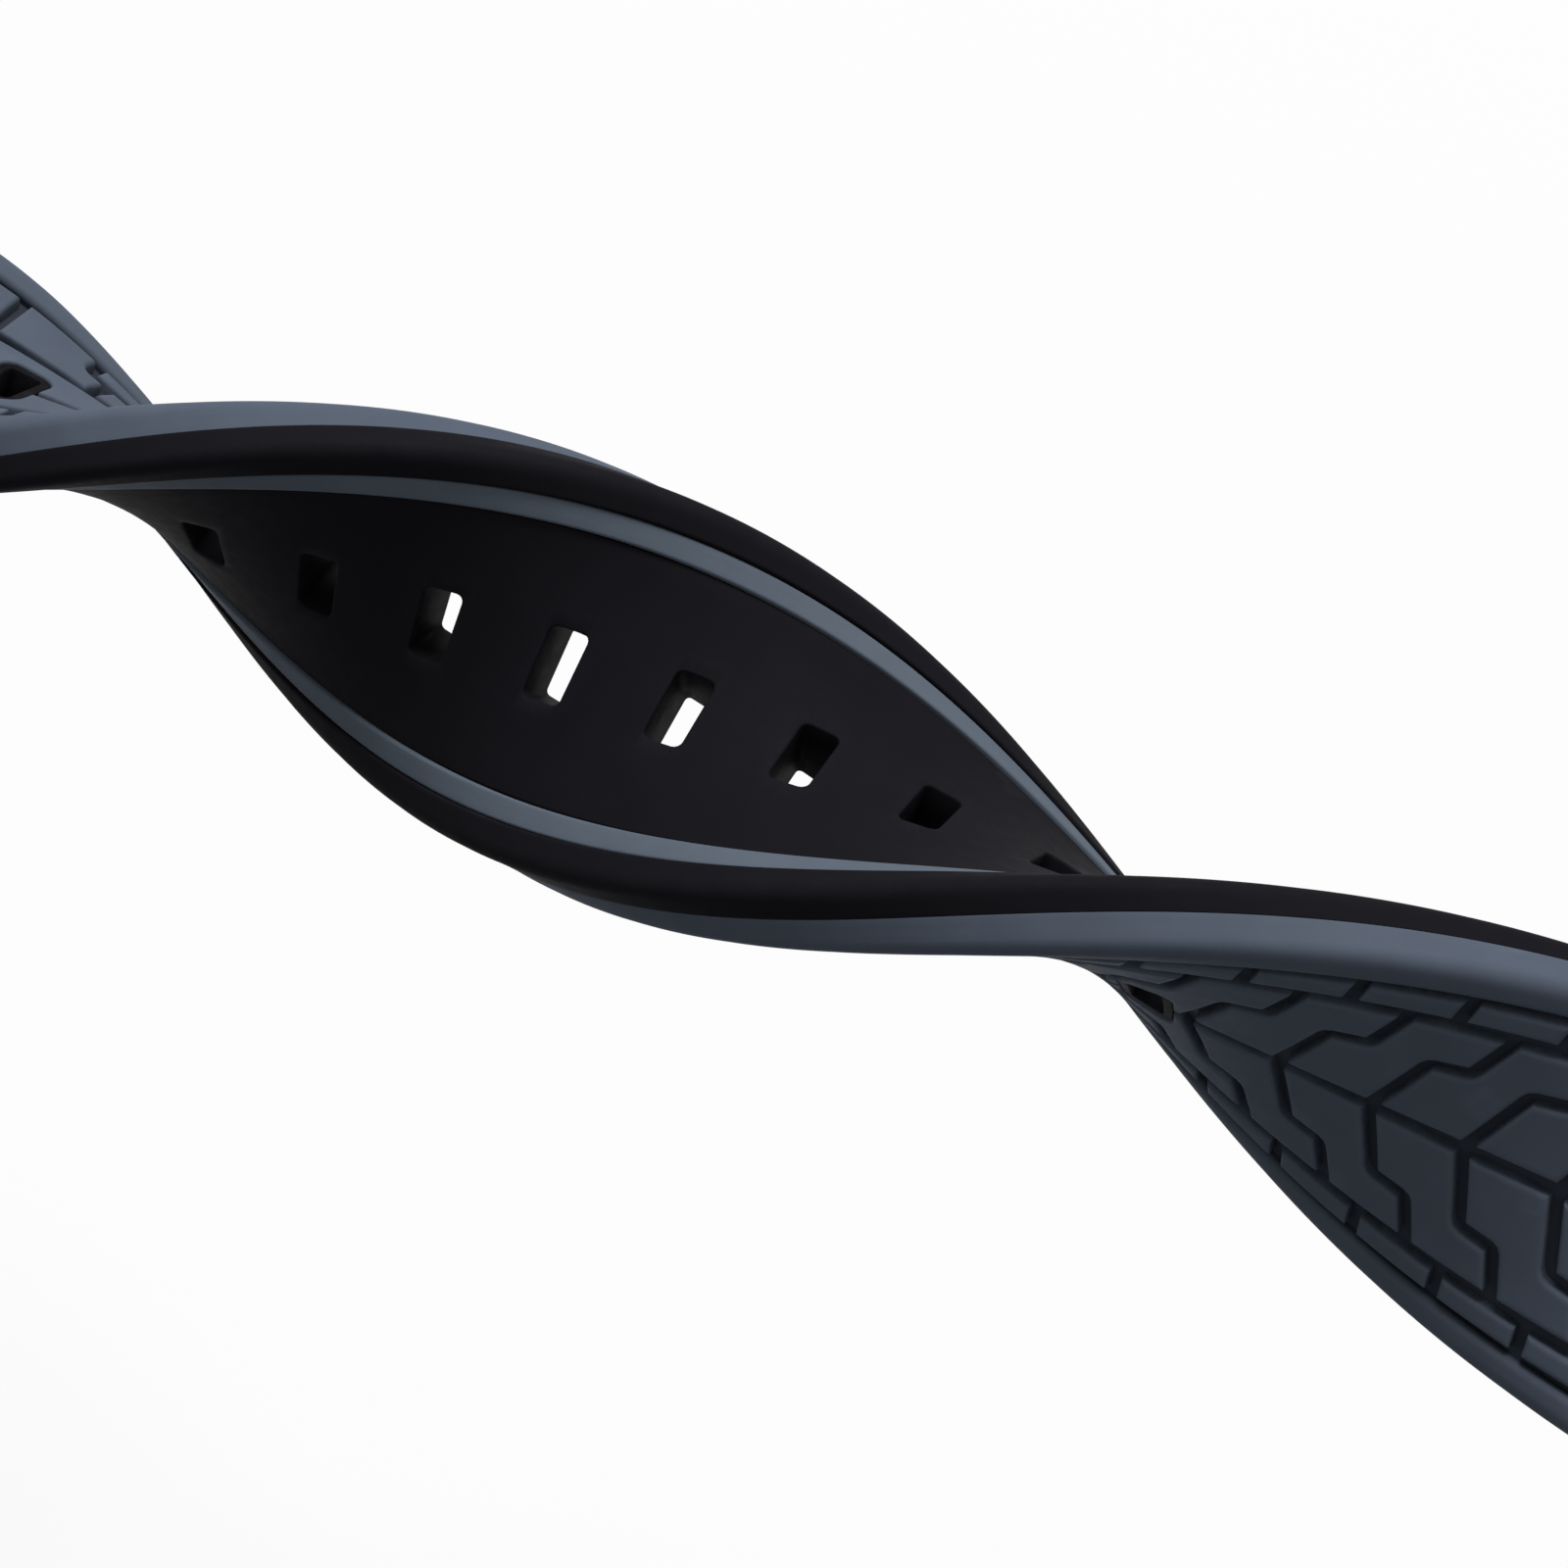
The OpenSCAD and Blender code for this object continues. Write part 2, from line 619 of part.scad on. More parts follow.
long_back_body();
long_tread_layer();
long_stripe_left();
long_stripe_right();
long_bar_barrel();
long_bar_spring();
long_bar_tip();
long_bar_release_tip();
long_bar_release_knob();
short_back_body();
short_tread_layer();
short_stripe_left();
short_stripe_right();
short_bar_barrel();
short_bar_spring();
short_bar_tip();
short_bar_release_tip();
short_bar_release_knob();
fixed_keeper();
free_keeper();
buckle_frame();
buckle_tongue();
buckle_bar_barrel();
buckle_bar_spring();
buckle_bar_tip_left();
buckle_bar_tip_right();
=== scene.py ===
"""Two-colour silicone watch strap: the dressed model, its materials, light and camera."""
import math
from collections import namedtuple

import bmesh
import bpy
from mathutils import Matrix, Vector
from mathutils.geometry import delaunay_2d_cdt


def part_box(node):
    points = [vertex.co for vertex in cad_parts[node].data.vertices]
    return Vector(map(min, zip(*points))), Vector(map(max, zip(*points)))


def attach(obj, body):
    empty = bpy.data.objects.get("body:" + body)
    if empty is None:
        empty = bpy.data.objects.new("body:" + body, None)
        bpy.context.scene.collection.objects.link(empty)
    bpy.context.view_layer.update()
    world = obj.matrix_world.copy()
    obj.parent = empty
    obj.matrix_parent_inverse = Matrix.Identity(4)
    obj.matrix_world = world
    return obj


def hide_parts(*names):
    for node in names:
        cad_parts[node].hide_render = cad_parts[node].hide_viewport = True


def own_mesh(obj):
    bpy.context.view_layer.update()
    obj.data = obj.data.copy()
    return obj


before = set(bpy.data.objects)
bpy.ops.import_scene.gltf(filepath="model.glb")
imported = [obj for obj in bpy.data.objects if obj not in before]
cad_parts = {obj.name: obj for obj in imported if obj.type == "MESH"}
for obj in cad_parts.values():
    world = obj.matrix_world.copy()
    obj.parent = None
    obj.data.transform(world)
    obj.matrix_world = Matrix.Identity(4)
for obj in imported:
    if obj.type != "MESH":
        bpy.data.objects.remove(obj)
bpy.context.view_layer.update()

MM = 0.001

# ---------------------------------------------------------------- sizes, in millimetres
# The same values as in the solids. u runs along a half from its bar, v is across it, and n is the
# height on the tread side of the colour seam. A shape is first made flat, at (-u, v, n), on a strap
# of one width, and then put in its place by the half's own bend, twist and taper.

# The strap: width at the bars, taper per length, lengths, the two layers and their outer edges
LUG_W = 20.0
TAPER = 0.03
LONG_LEN = 145.0
SHORT_LEN = 75.0
BACK_T = 1.75
TREAD_T = 1.95
EDGE_R = 0.8

# The tip of the long half: length of its round corners, width left at its end, and the way in over
# which its last edge rounds over
TIP_LEN = 5.0
TIP_END_SHARE = 0.4
TIP_ROUND = 0.5

# The pose of the long half: a straight start, and then a twist with a low arch. TWIST_SHAPE gives
# the rate of turn at shares of the twisted length.
STRAIGHT_END = 5.0
TWIST_LEN = 118.0
ARCH_H = 3.1
TWIST_SHAPE = [(0, 0), (0.10, 3.1), (0.22, 2.4), (0.47, 3.6), (0.72, 3.8), (0.89, 4.0), (1, 0)]

# The short half, below the tail of the long one, and the ends that hold the bars
BUCKLE_X = -125.0
SHORT_LUG_X = BUCKLE_X - SHORT_LEN
SHORT_DROP = 4.15
END_D = 4.2
END_SIDE_GAP = 0.1
BAR_HOLE_R = 0.95

# The cross-section: where its parts start, the rims, the stripes, the panel and the tread's floor
BODY_START = 3.5
TREAD_START = 4.0
RIM_W = 1.65
STRIPE_W = 1.17
STRIPE_GROOVE = 0.8
STRIPE_SINK = 0.15
STRIPE_GAP = 0.02
STRIPE_START = 5.0
PANEL_SINK = 0.35
TREAD_RIM_W = 1.65
RIM_BEVEL = 0.4
POOL_START = 8.9

# The grooves of the tread
GROOVE_D = 0.6
GROOVE_W = 0.58
PITCH = 4.25
FIRST_GROOVE = 14.38

# The adjustment holes and their collars
FIRST_HOLE = 50.2
HOLE_PITCH = 5.83
HOLE_COUNT = 14
HOLE_W = 3.4
HOLE_L = 1.75
HOLE_CORNER = 0.35
COLLAR_W = 0.4
COLLAR_SINK = 0.1
COLLAR_GAP = 0.03

# Half the width for which the flat shapes are drawn, that of the middle of the photographed part
H_REF = 9.37
INNER = H_REF - TREAD_RIM_W
FLOOR_N = TREAD_T - GROOVE_D
PANEL_N = -BACK_T + PANEL_SINK

# Fineness of the meshes: length of the parts of a side, and degrees of an arc for each part
STEP = 0.6
ARC = 25
SECTION_STEP = 0.8
SECTION_ARC = 18
RING_STEP = 0.5
# Places of the rings at the tip, counted from its end, and then a row at even distances
TIP_RINGS = (0.02, 0.06, 0.14, 0.26, 0.4, 0.55, 0.7)
TIP_ROW_AT = 0.9
TIP_ROW_STEP = 0.2
TIP_ROW_COUNT = 18
NEAR_ZERO = 1e-6


# ---------------------------------------------------------------- places on the strap
def clamped(value):
    return max(0.0, min(1.0, value))


def turn_up_to(t):
    """The turn gathered from the start of the twist to the share t of its length."""
    total = 0.0
    for (start, rate), (end, next_rate) in zip(TWIST_SHAPE, TWIST_SHAPE[1:]):
        run = max(0.0, min(t, end) - start)
        total += rate * run + (next_rate - rate) / (end - start) * run * run / 2
    return total


WHOLE_TURN = turn_up_to(1)


def long_place(u, v, n):
    """Twisted by one turn, which ends level at the tail."""
    t = clamped((u - STRAIGHT_END) / TWIST_LEN)
    turn = 2 * math.pi * (turn_up_to(t) / WHOLE_TURN - 1)
    arch = ARCH_H * (1 - math.cos(2 * math.pi * t)) / 2
    c, s = math.cos(turn), math.sin(turn)
    return Vector((-u, v * c - n * s, arch + v * s + n * c))


def short_place(u, v, n):
    return Vector((SHORT_LUG_X + u, -v, n - SHORT_DROP))


def half_width(u):
    return (LUG_W - TAPER * u) / 2


def tip_share(u):
    """The share of the width that the round corners of the tip leave."""
    t = max(0.0, 1 - (LONG_LEN - u) / TIP_LEN)
    return math.sqrt(1 - t * t * (1 - TIP_END_SHARE ** 2))


def tapered(p, rim, has_tip):
    """A point of the flat strap of one width, moved to the true width. The rim keeps its width."""
    u, v, n = -p[0], p[1], p[2]
    share = tip_share(u) if has_tip else 1.0
    edge = half_width(u) * share
    from_edge = H_REF - abs(v)
    if from_edge < rim:
        across = edge - from_edge * share
    else:
        across = abs(v) * (edge - rim * share) / (H_REF - rim)
    if has_tip:
        left = max(0.0, TIP_ROUND - (LONG_LEN - u))
        drop = TIP_ROUND - math.sqrt(max(0.0, TIP_ROUND ** 2 - left * left))
        across *= 1 - drop / max(edge, 1)
        full = TREAD_T if n > 0 else BACK_T
        n *= 1 - drop / full
    return Vector((p[0], math.copysign(across, v), n))


# ---------------------------------------------------------------- outlines
LEAST_R = 0.02


def rectangle(x0, x1, y0, y1):
    return [(x0, y0), (x1, y0), (x1, y1), (x0, y1)]


def moved_in(corners, inset):
    """The corners of an anticlockwise polygon whose sides are moved in by a distance."""
    moved = []
    count = len(corners)
    for i in range(count):
        a, b, c = (Vector(corners[(i + j) % count]) for j in (-1, 0, 1))
        d1, d2 = (b - a).normalized(), (c - b).normalized()
        n1, n2 = Vector((-d1.y, d1.x)), Vector((-d2.y, d2.x))
        moved.append(b + (n1 + n2) * (inset / (1 + n1.dot(n2))))
    return moved


def rounded(corners, radius, inset=0.0, step=STEP, arc=ARC):
    """A polygon moved in by inset, with round corners and divided sides. Its number of points
    doesn't depend on inset. The radius is one number, or a list with one for each corner."""
    count = len(corners)
    radii = radius if isinstance(radius, (list, tuple)) else [radius] * count
    places = moved_in(corners, inset)
    arcs = []
    for i in range(count):
        a, b, c = places[i - 1], places[i], places[(i + 1) % count]
        d1, d2 = (b - a).normalized(), (c - b).normalized()
        turn = math.atan2(d1.x * d2.y - d1.y * d2.x, d1.dot(d2))
        side = 1 if turn > 0 else -1
        r = max(LEAST_R, radii[i] - side * inset)
        back = r * math.tan(abs(turn) / 2)
        centre = b - d1 * back + Vector((-d1.y, d1.x)) * side * r
        steps = max(2, round(math.degrees(abs(turn)) / arc))
        first = b - d1 * back - centre
        arcs.append([
            centre + Matrix.Rotation(turn * k / steps, 2) @ first for k in range(steps + 1)
        ])
    points = []
    for i in range(count):
        points += arcs[i]
        start, end = arcs[i][-1], arcs[(i + 1) % count][0]
        length = (Vector(corners[(i + 1) % count]) - Vector(corners[i])).length
        parts = max(1, math.ceil(length / step))
        points += [start.lerp(end, k / parts) for k in range(1, parts)]
    return points


# A grid of even triangles: height of a row, and least distance from the outline, for a side of 1
ROW_SHARE = 0.87
CLEAR_SHARE = 0.6


def filled(loop, spacing):
    """Extra points inside a flat outline, and triangles over all of them."""
    low = Vector((min(p.x for p in loop), min(p.y for p in loop)))
    high = Vector((max(p.x for p in loop), max(p.y for p in loop)))
    sides = [(i, (i + 1) % len(loop)) for i in range(len(loop))]

    def inside(q):
        hit = False
        for i, j in sides:
            a, b = loop[i], loop[j]
            if (a.y > q.y) != (b.y > q.y) and q.x < (b.x - a.x) * (q.y - a.y) / (b.y - a.y) + a.x:
                hit = not hit
        return hit

    extra = []
    rows = int((high.y - low.y) / (spacing * ROW_SHARE)) + 1
    for j in range(rows):
        y = low.y + (j + 0.5) * spacing * ROW_SHARE
        x = low.x + spacing * (0.25 + 0.5 * (j % 2))
        while x < high.x:
            q = Vector((x, y))
            if inside(q) and min((q - p).length for p in loop) > CLEAR_SHARE * spacing:
                extra.append(q)
            x += spacing
    _, _, faces, origins, _, _ = delaunay_2d_cdt(loop + extra, sides, [], 1, NEAR_ZERO)
    number = [origin[0] for origin in origins]
    return extra, [[number[i] for i in face] for face in faces]


# ---------------------------------------------------------------- closed shells
class Shell:
    """Points and faces of one or more closed surfaces."""

    def __init__(self):
        self.points = []
        self.faces = []

    def add(self, points, faces):
        first = len(self.points)
        self.points += [Vector(p) for p in points]
        self.faces += [[first + i for i in face] for face in faces]
        return self

    def join(self, other):
        return self.add(other.points, other.faces)

    def moved(self, place):
        made = Shell()
        made.points = [place(p) for p in self.points]
        made.faces = self.faces
        return made


def side_faces(count, size, around=False):
    """The faces between rings that are numbered one after the other."""
    faces = []
    for i in range(count if around else count - 1):
        a, b = i * size, (i + 1) % count * size
        faces += [[a + k, a + (k + 1) % size, b + (k + 1) % size, b + k] for k in range(size)]
    return faces


def loft(rings, around=False):
    """Rings of equal count joined into a closed surface, with capped ends or closed on itself."""
    size = len(rings[0])
    faces = side_faces(len(rings), size, around)
    if not around:
        faces.append(list(range(size))[::-1])
        faces.append([(len(rings) - 1) * size + k for k in range(size)])
    return Shell().add([p for ring in rings for p in ring], faces)


def upright(x, y, level):
    return Vector((x, y, level))


def sideways(x, z, level):
    return Vector((x, level, z))


def prism(corners, radius, levels, place=upright, step=STEP):
    """Rounded outlines at several levels, given as (inset, height), joined and put in place."""
    return loft([[place(p.x, p.y, n) for p in rounded(corners, radius, inset, step)]
                 for inset, n in levels])


def soft_ends(low, high, soft):
    """Levels from low to high, given as (inset, height), that round off the edges at both."""
    rounds = [(soft * (1 - math.sin(a)), soft * (1 - math.cos(a)))
              for a in map(math.radians, (0, 22, 45, 68, 90))]
    return [(i, low + d) for i, d in rounds] + [(i, high - d) for i, d in rounds[::-1]]


def lathe(profile, sides):
    """A closed surface round the y axis, through places given as (radius, y)."""
    angles = [2 * math.pi * k / sides for k in range(sides)]
    return loft([[Vector((r * math.cos(a), y, r * math.sin(a))) for a in angles]
                 for r, y in profile])


def rod(radius, half_w, sides=40):
    return lathe([(radius, -half_w), (radius, half_w)], sides)


def box(low, high):
    return loft([[Vector((x, y, z)) for x, y in rectangle(low[0], high[0], low[1], high[1])]
                 for z in (low[2], high[2])])


# ---------------------------------------------------------------- the two halves
class Half(namedtuple("Half", "name place has_tip body_end tread_end pool_end stripe_end")):
    """One half of the strap, and how far its body, tread, sunken floor and stripes reach."""

    def taper(self, shell, rim):
        return shell.moved(lambda p: tapered(p, rim, self.has_tip))

    def placed(self, shell):
        return shell.moved(lambda p: self.place(-p.x, p.y, p.z))

    def tip_rings(self, places):
        if not self.has_tip:
            return places
        row_start = LONG_LEN - TIP_ROW_AT
        extra = {LONG_LEN - d for d in TIP_RINGS}
        extra |= {row_start - TIP_ROW_STEP * k for k in range(TIP_ROW_COUNT)}
        return sorted({p for p in places if p < row_start or p == LONG_LEN} | extra)


LONG = Half("long", long_place, True, body_end=LONG_LEN, tread_end=LONG_LEN, pool_end=140.2,
            stripe_end=137.0)
SHORT = Half("short", short_place, False, body_end=SHORT_LEN - BODY_START,
             tread_end=SHORT_LEN - TREAD_START, pool_end=SHORT_LEN - 6.5,
             stripe_end=SHORT_LEN - STRIPE_START)

# How a floor drops away past the end of a groove: distance from the end, and share of the drop
GROOVE_END = ((0, 0), (0.06, 0.08), (0.11, 0.3), (0.14, 1))
RING_CLEARANCE = 0.1


def steps_between(start, end, step):
    parts = max(1, math.ceil((end - start) / step))
    return [start + (end - start) * k / parts for k in range(parts + 1)]


def soft_steps(edge, side):
    return [(edge + side * d, share) for d, share in GROOVE_END]


def share_open(u, start, end):
    """How far a groove that runs from start to end is open at u."""
    for edge, side in ((start, 1), (end, -1)):
        table = soft_steps(edge, side)
        if side * (u - edge) < NEAR_ZERO:
            return 0.0
        for (a, s), (b, t) in zip(table, table[1:]):
            if side * (u - b) < NEAR_ZERO:
                return s + (t - s) * (u - a) / (b - a)
    return 1.0


def swept(half, section, reach, groove, inner, level, depth):
    """A cross-section swept along a flat half, over reach. Its grooves, which lie inside
    |v| < inner and between level and level + depth, close at the ends of groove."""
    soft = {round(u, 4) for edge, side in zip(groove, (1, -1)) for u, _ in soft_steps(edge, side)}
    places = {round(u, 4) for u in steps_between(*reach, RING_STEP)}
    places = {u for u in places if u in reach or min(abs(u - s) for s in soft) > RING_CLEARANCE}
    rings = []
    for u in half.tip_rings(sorted(places | soft)):
        share = share_open(u, *groove)
        ring = []
        for p in section:
            n = p.y
            if abs(p.x) < inner and 0 < (n - level) / depth < 1.01:
                n = level + (n - level) * share
            ring.append(Vector((-u, p.x, n)))
        rings.append(ring)
    return loft(rings)


# Radii of the cross-sections: at the colour seam, the lips of the grooves, and their floors
SEAM_R = 0.04
LIP_R = 0.14
BACK_FLOOR_R = 0.06
TREAD_FLOOR_R = 0.08
SEAM_GAP = 0.01


def back_body(half):
    low = -BACK_T
    deep = low + STRIPE_GROOVE
    out, inn = H_REF - RIM_W, H_REF - RIM_W - STRIPE_W
    corners = [(H_REF, 0), (-H_REF, 0), (-H_REF, low), (-out, low), (-out, deep), (-inn, deep),
               (-inn, PANEL_N), (inn, PANEL_N), (inn, deep), (out, deep), (out, low), (H_REF, low)]
    groove_radii = [LIP_R, BACK_FLOOR_R, BACK_FLOOR_R, LIP_R]
    radii = [SEAM_R, SEAM_R, EDGE_R] + groove_radii * 2 + [EDGE_R]
    section = rounded(corners, radii, step=SECTION_STEP, arc=SECTION_ARC)
    made = swept(half, section, (BODY_START, half.body_end), (STRIPE_START, half.stripe_end),
                 out + LIP_R + 0.02, low, STRIPE_GROOVE)
    return half.taper(made, RIM_W + STRIPE_W)


def tread_base(half):
    corners = [(-H_REF, SEAM_GAP), (H_REF, SEAM_GAP), (H_REF, TREAD_T), (INNER, TREAD_T),
               (INNER, FLOOR_N), (-INNER, FLOOR_N), (-INNER, TREAD_T), (-H_REF, TREAD_T)]
    radii = [SEAM_R, SEAM_R, EDGE_R, RIM_BEVEL, TREAD_FLOOR_R, TREAD_FLOOR_R, RIM_BEVEL, EDGE_R]
    section = rounded(corners, radii, step=SECTION_STEP, arc=SECTION_ARC)
    made = swept(half, section, (TREAD_START, half.tread_end), (POOL_START, half.pool_end),
                 INNER + RIM_BEVEL + 0.02, TREAD_T, -GROOVE_D)
    return half.taper(made, TREAD_RIM_W)


# The ends of a stripe: distance from the ends of its groove, radius, and places of the rings there
STRIPE_END_GAP = 0.25
STRIPE_END_R = 0.2
STRIPE_END_RINGS = (0.0, 0.04, 0.12)


def stripe(half, side):
    """A strip in its groove, one on each side, with round ends and edges."""
    out = H_REF - RIM_W - STRIPE_GAP
    inn = H_REF - RIM_W - STRIPE_W + STRIPE_GAP
    bottom, face = -BACK_T + STRIPE_GROOVE - STRIPE_GAP, -BACK_T + STRIPE_SINK
    corners = [(inn, face), (out, face), (out, bottom), (inn, bottom)]
    section = rounded(corners, [LIP_R, LIP_R, 0.05, 0.05], step=0.5, arc=SECTION_ARC)
    middle = Vector(((out + inn) / 2, (bottom + face) / 2))
    start, end = STRIPE_START + STRIPE_END_GAP, half.stripe_end - STRIPE_END_GAP
    places = [(u, 0.0) for u in steps_between(start, end, RING_STEP)[1:-1]]
    for d in STRIPE_END_RINGS:
        from_round = STRIPE_END_R - d
        inset = STRIPE_END_R - math.sqrt(max(0.0, STRIPE_END_R ** 2 - from_round ** 2))
        places += [(start + d, inset), (end - d, inset)]
    rings = []
    for u, inset in sorted(places):
        ring = [middle + (p - middle) * (1 - inset / (STRIPE_W / 2)) for p in section]
        rings.append([Vector((-u, side * q.x, q.y)) for q in ring])
    return half.taper(loft(rings), RIM_W + STRIPE_W)


# ---------------------------------------------------------------- the tread
# The line of a cross groove: place along +x from where it leaves the middle, and distance across
GROOVE_LINE = [(0, 0.05), (1.4, 3.6), (3.1, 3.8), (4.1, 6.08)]
MIDDLE_AT, OUTER_AT = GROOVE_LINE[0][1], GROOVE_LINE[-1][1]

# The bars along the rims: from where to where across, gap from the groove, and slant of their ends
BAR_IN, BAR_OUT = 6.1, 7.7
BAR_GAP_AT = 1.7
BAR_SLANT = 0.15

# The form of a block: corners, soft upper edge, way in to its flat top, and slope of its sides
BLOCK_CORNER = 0.34
BLOCK_BEVEL = 0.2
BLOCK_TOP_IN = 0.14
BLOCK_DRAFT = 0.04
BLOCK_SINK = 0.05
BLOCK_SPACING = 0.8

# The blocks stop short of the ends of the floor, and the zig-zag grooves earlier still
POOL_MARGIN = 0.1
GROOVE_MARGIN = 2.2

# The pattern's lean, the length over which it comes in, and where and how soon it goes out again
TREAD_LEAN = 0.085
LEAN_IN = 9
LEAN_END = 62
LEAN_OUT = 12

# Past its last zig-zag groove the long half has plainer blocks, in two rows on each side
TAIL_GROOVE = 21
TAIL_SPLIT = 3.85
TAIL_STEP = 106.3
TAIL_STEP_SLANT = 0.2
TAIL_BAR_END = 107.3
OUTER_CUT = 111.5
OUTER_CUTS = 7
INNER_CUT = 111.4
INNER_CUTS = 5


def leaning(p):
    """The long half's pattern leans a little where the strap starts to turn."""
    share = clamped(min((-p.x - POOL_START) / LEAN_IN, (LEAN_END + p.x) / LEAN_OUT))
    return Vector((p.x + TREAD_LEAN * share * p.y, p.y, p.z))


def raised_block(corners):
    """A closed block on a flat outline, with sloping sides and a soft upper edge."""
    levels = [(-BLOCK_DRAFT, FLOOR_N - BLOCK_SINK), (0.0, TREAD_T - BLOCK_BEVEL)]
    levels += [(BLOCK_BEVEL * (1 - math.cos(a)), TREAD_T - BLOCK_BEVEL * (1 - math.sin(a)))
               for a in map(math.radians, (30, 60, 90))]
    levels.append((BLOCK_BEVEL + BLOCK_TOP_IN, TREAD_T))
    loops = [rounded(corners, BLOCK_CORNER, GROOVE_W / 2 + inset) for inset, _ in levels]
    size = len(loops[0])
    points = [Vector((p.x, p.y, n)) for loop, (_, n) in zip(loops, levels) for p in loop]
    faces = side_faces(len(loops), size)
    extra, top = filled(loops[-1], BLOCK_SPACING)
    first_top = (len(loops) - 1) * size
    points += [Vector((p.x, p.y, TREAD_T)) for p in extra]
    faces += [[first_top + i for i in face] for face in top]
    faces.append(list(range(size))[::-1])
    return Shell().add(points, faces)


def tail_outlines(last, end_x):
    """The blocks past the zig-zag groove that leaves the middle at x = last."""
    _, (bend, _), (step, _), (past, _) = GROOVE_LINE
    inner = [-(INNER_CUT + HOLE_PITCH * k) for k in range(INNER_CUTS)] + [end_x]
    outer = [-(OUTER_CUT + PITCH * k) for k in range(OUTER_CUTS)] + [end_x]
    step_out = TAIL_STEP_SLANT - TAIL_STEP
    made = [rectangle(b, a, MIDDLE_AT, TAIL_SPLIT) for a, b in zip(inner, inner[1:])]
    made += [rectangle(b, a, TAIL_SPLIT, BAR_OUT) for a, b in zip(outer, outer[1:])]
    made.append([(inner[0], MIDDLE_AT), (last, MIDDLE_AT), (last + bend, TAIL_SPLIT - 0.1),
                 (inner[0], TAIL_SPLIT)])
    made.append([(-TAIL_STEP, TAIL_SPLIT), (last + step, TAIL_SPLIT), (last + past, OUTER_AT),
                 (step_out, OUTER_AT)])
    made.append([(outer[0], TAIL_SPLIT), (-TAIL_STEP, TAIL_SPLIT), (step_out, OUTER_AT),
                 (-TAIL_BAR_END, OUTER_AT), (-TAIL_BAR_END, BAR_OUT), (outer[0], BAR_OUT)])
    return made


def bar_outline(from_x, to_x, slant_from, slant_to):
    return [(from_x - slant_from, BAR_IN), (to_x - slant_to, BAR_IN),
            (to_x + slant_to, BAR_OUT), (from_x + slant_from, BAR_OUT)]


def tread_blocks(half):
    """All raised blocks and bars of a half. x runs towards the bar."""
    made = Shell()

    def both_sides(corners, shifts=(0,)):
        block = raised_block(corners)
        for shift in shifts:
            right = block.moved(lambda p: Vector((p.x + shift, p.y, p.z)))
            made.join(right)
            left = right.moved(lambda p: Vector((p.x, -p.y, p.z)))
            left.faces = [face[::-1] for face in right.faces]
            made.join(left)

    start_x, end_x = -(POOL_START + POOL_MARGIN), -(half.pool_end - POOL_MARGIN)
    if half.has_tip:
        count = TAIL_GROOVE + 1
    else:
        count = int((half.pool_end - GROOVE_MARGIN - FIRST_GROOVE) / PITCH) + 1
    grooves = [-(FIRST_GROOVE + PITCH * k) for k in range(count)]
    first, last = grooves[0], grooves[-1]

    # Blocks, between one groove and the next
    both_sides([(x + PITCH, w) for x, w in GROOVE_LINE] + GROOVE_LINE[::-1], grooves[1:])
    both_sides([(start_x, MIDDLE_AT), (start_x, OUTER_AT)]
               + [(first + x, w) for x, w in GROOVE_LINE[::-1]])
    if half.has_tip:
        for outline in tail_outlines(last, end_x):
            both_sides(outline)
    else:
        both_sides([(last + x, w) for x, w in GROOVE_LINE]
                   + [(end_x, OUTER_AT), (end_x, MIDDLE_AT)])

    # Bars along the rims
    bars_end = -TAIL_BAR_END if half.has_tip else end_x
    both_sides(bar_outline(BAR_GAP_AT, BAR_GAP_AT + PITCH, BAR_SLANT, BAR_SLANT), grooves[1:])
    both_sides(bar_outline(first + BAR_GAP_AT, start_x, BAR_SLANT, 0))
    both_sides(bar_outline(bars_end, last + BAR_GAP_AT, 0, BAR_SLANT))
    return half.taper(made.moved(leaning) if half.has_tip else made, TREAD_RIM_W)


# ---------------------------------------------------------------- Blender objects and cutting
def as_object(name, shell, scale=1.0):
    mesh = bpy.data.meshes.new(name)
    mesh.from_pydata([p * scale for p in shell.points], [], shell.faces)
    made = bmesh.new()
    made.from_mesh(mesh)
    bmesh.ops.recalc_face_normals(made, faces=made.faces)
    made.to_mesh(mesh)
    made.free()
    obj = bpy.data.objects.new(name, mesh)
    bpy.context.collection.objects.link(obj)
    return obj


def combined(shell, others, operation):
    """A shell with the others cut from it or joined to it."""
    target = as_object("work", shell)
    tools = [as_object("tool", other) for other in others]
    for tool in tools:
        step = target.modifiers.new("step", "BOOLEAN")
        step.operation = operation
        step.solver = "MANIFOLD"
        step.object = tool
    shape = target.evaluated_get(bpy.context.evaluated_depsgraph_get()).to_mesh()
    edit = bmesh.new()
    edit.from_mesh(shape)
    bmesh.ops.triangulate(edit, faces=[f for f in edit.faces if len(f.verts) > 4])
    made = Shell().add([v.co for v in edit.verts], [[v.index for v in f.verts] for f in edit.faces])
    edit.free()
    target.to_mesh_clear()
    for obj in [target] + tools:
        bpy.data.meshes.remove(obj.data)
    return made


# ---------------------------------------------------------------- the holes and the ends
def hole_rods(levels):
    """A rod of a hole's outline at each hole, through levels given as (inset, height)."""
    made = Shell()
    for k in range(HOLE_COUNT):
        x = -(FIRST_HOLE + k * HOLE_PITCH)
        corners = rectangle(x - HOLE_L / 2, x + HOLE_L / 2, -HOLE_W / 2, HOLE_W / 2)
        made.join(prism(corners, HOLE_CORNER, levels))
    return made


COLLAR_TOP = TREAD_T - COLLAR_SINK


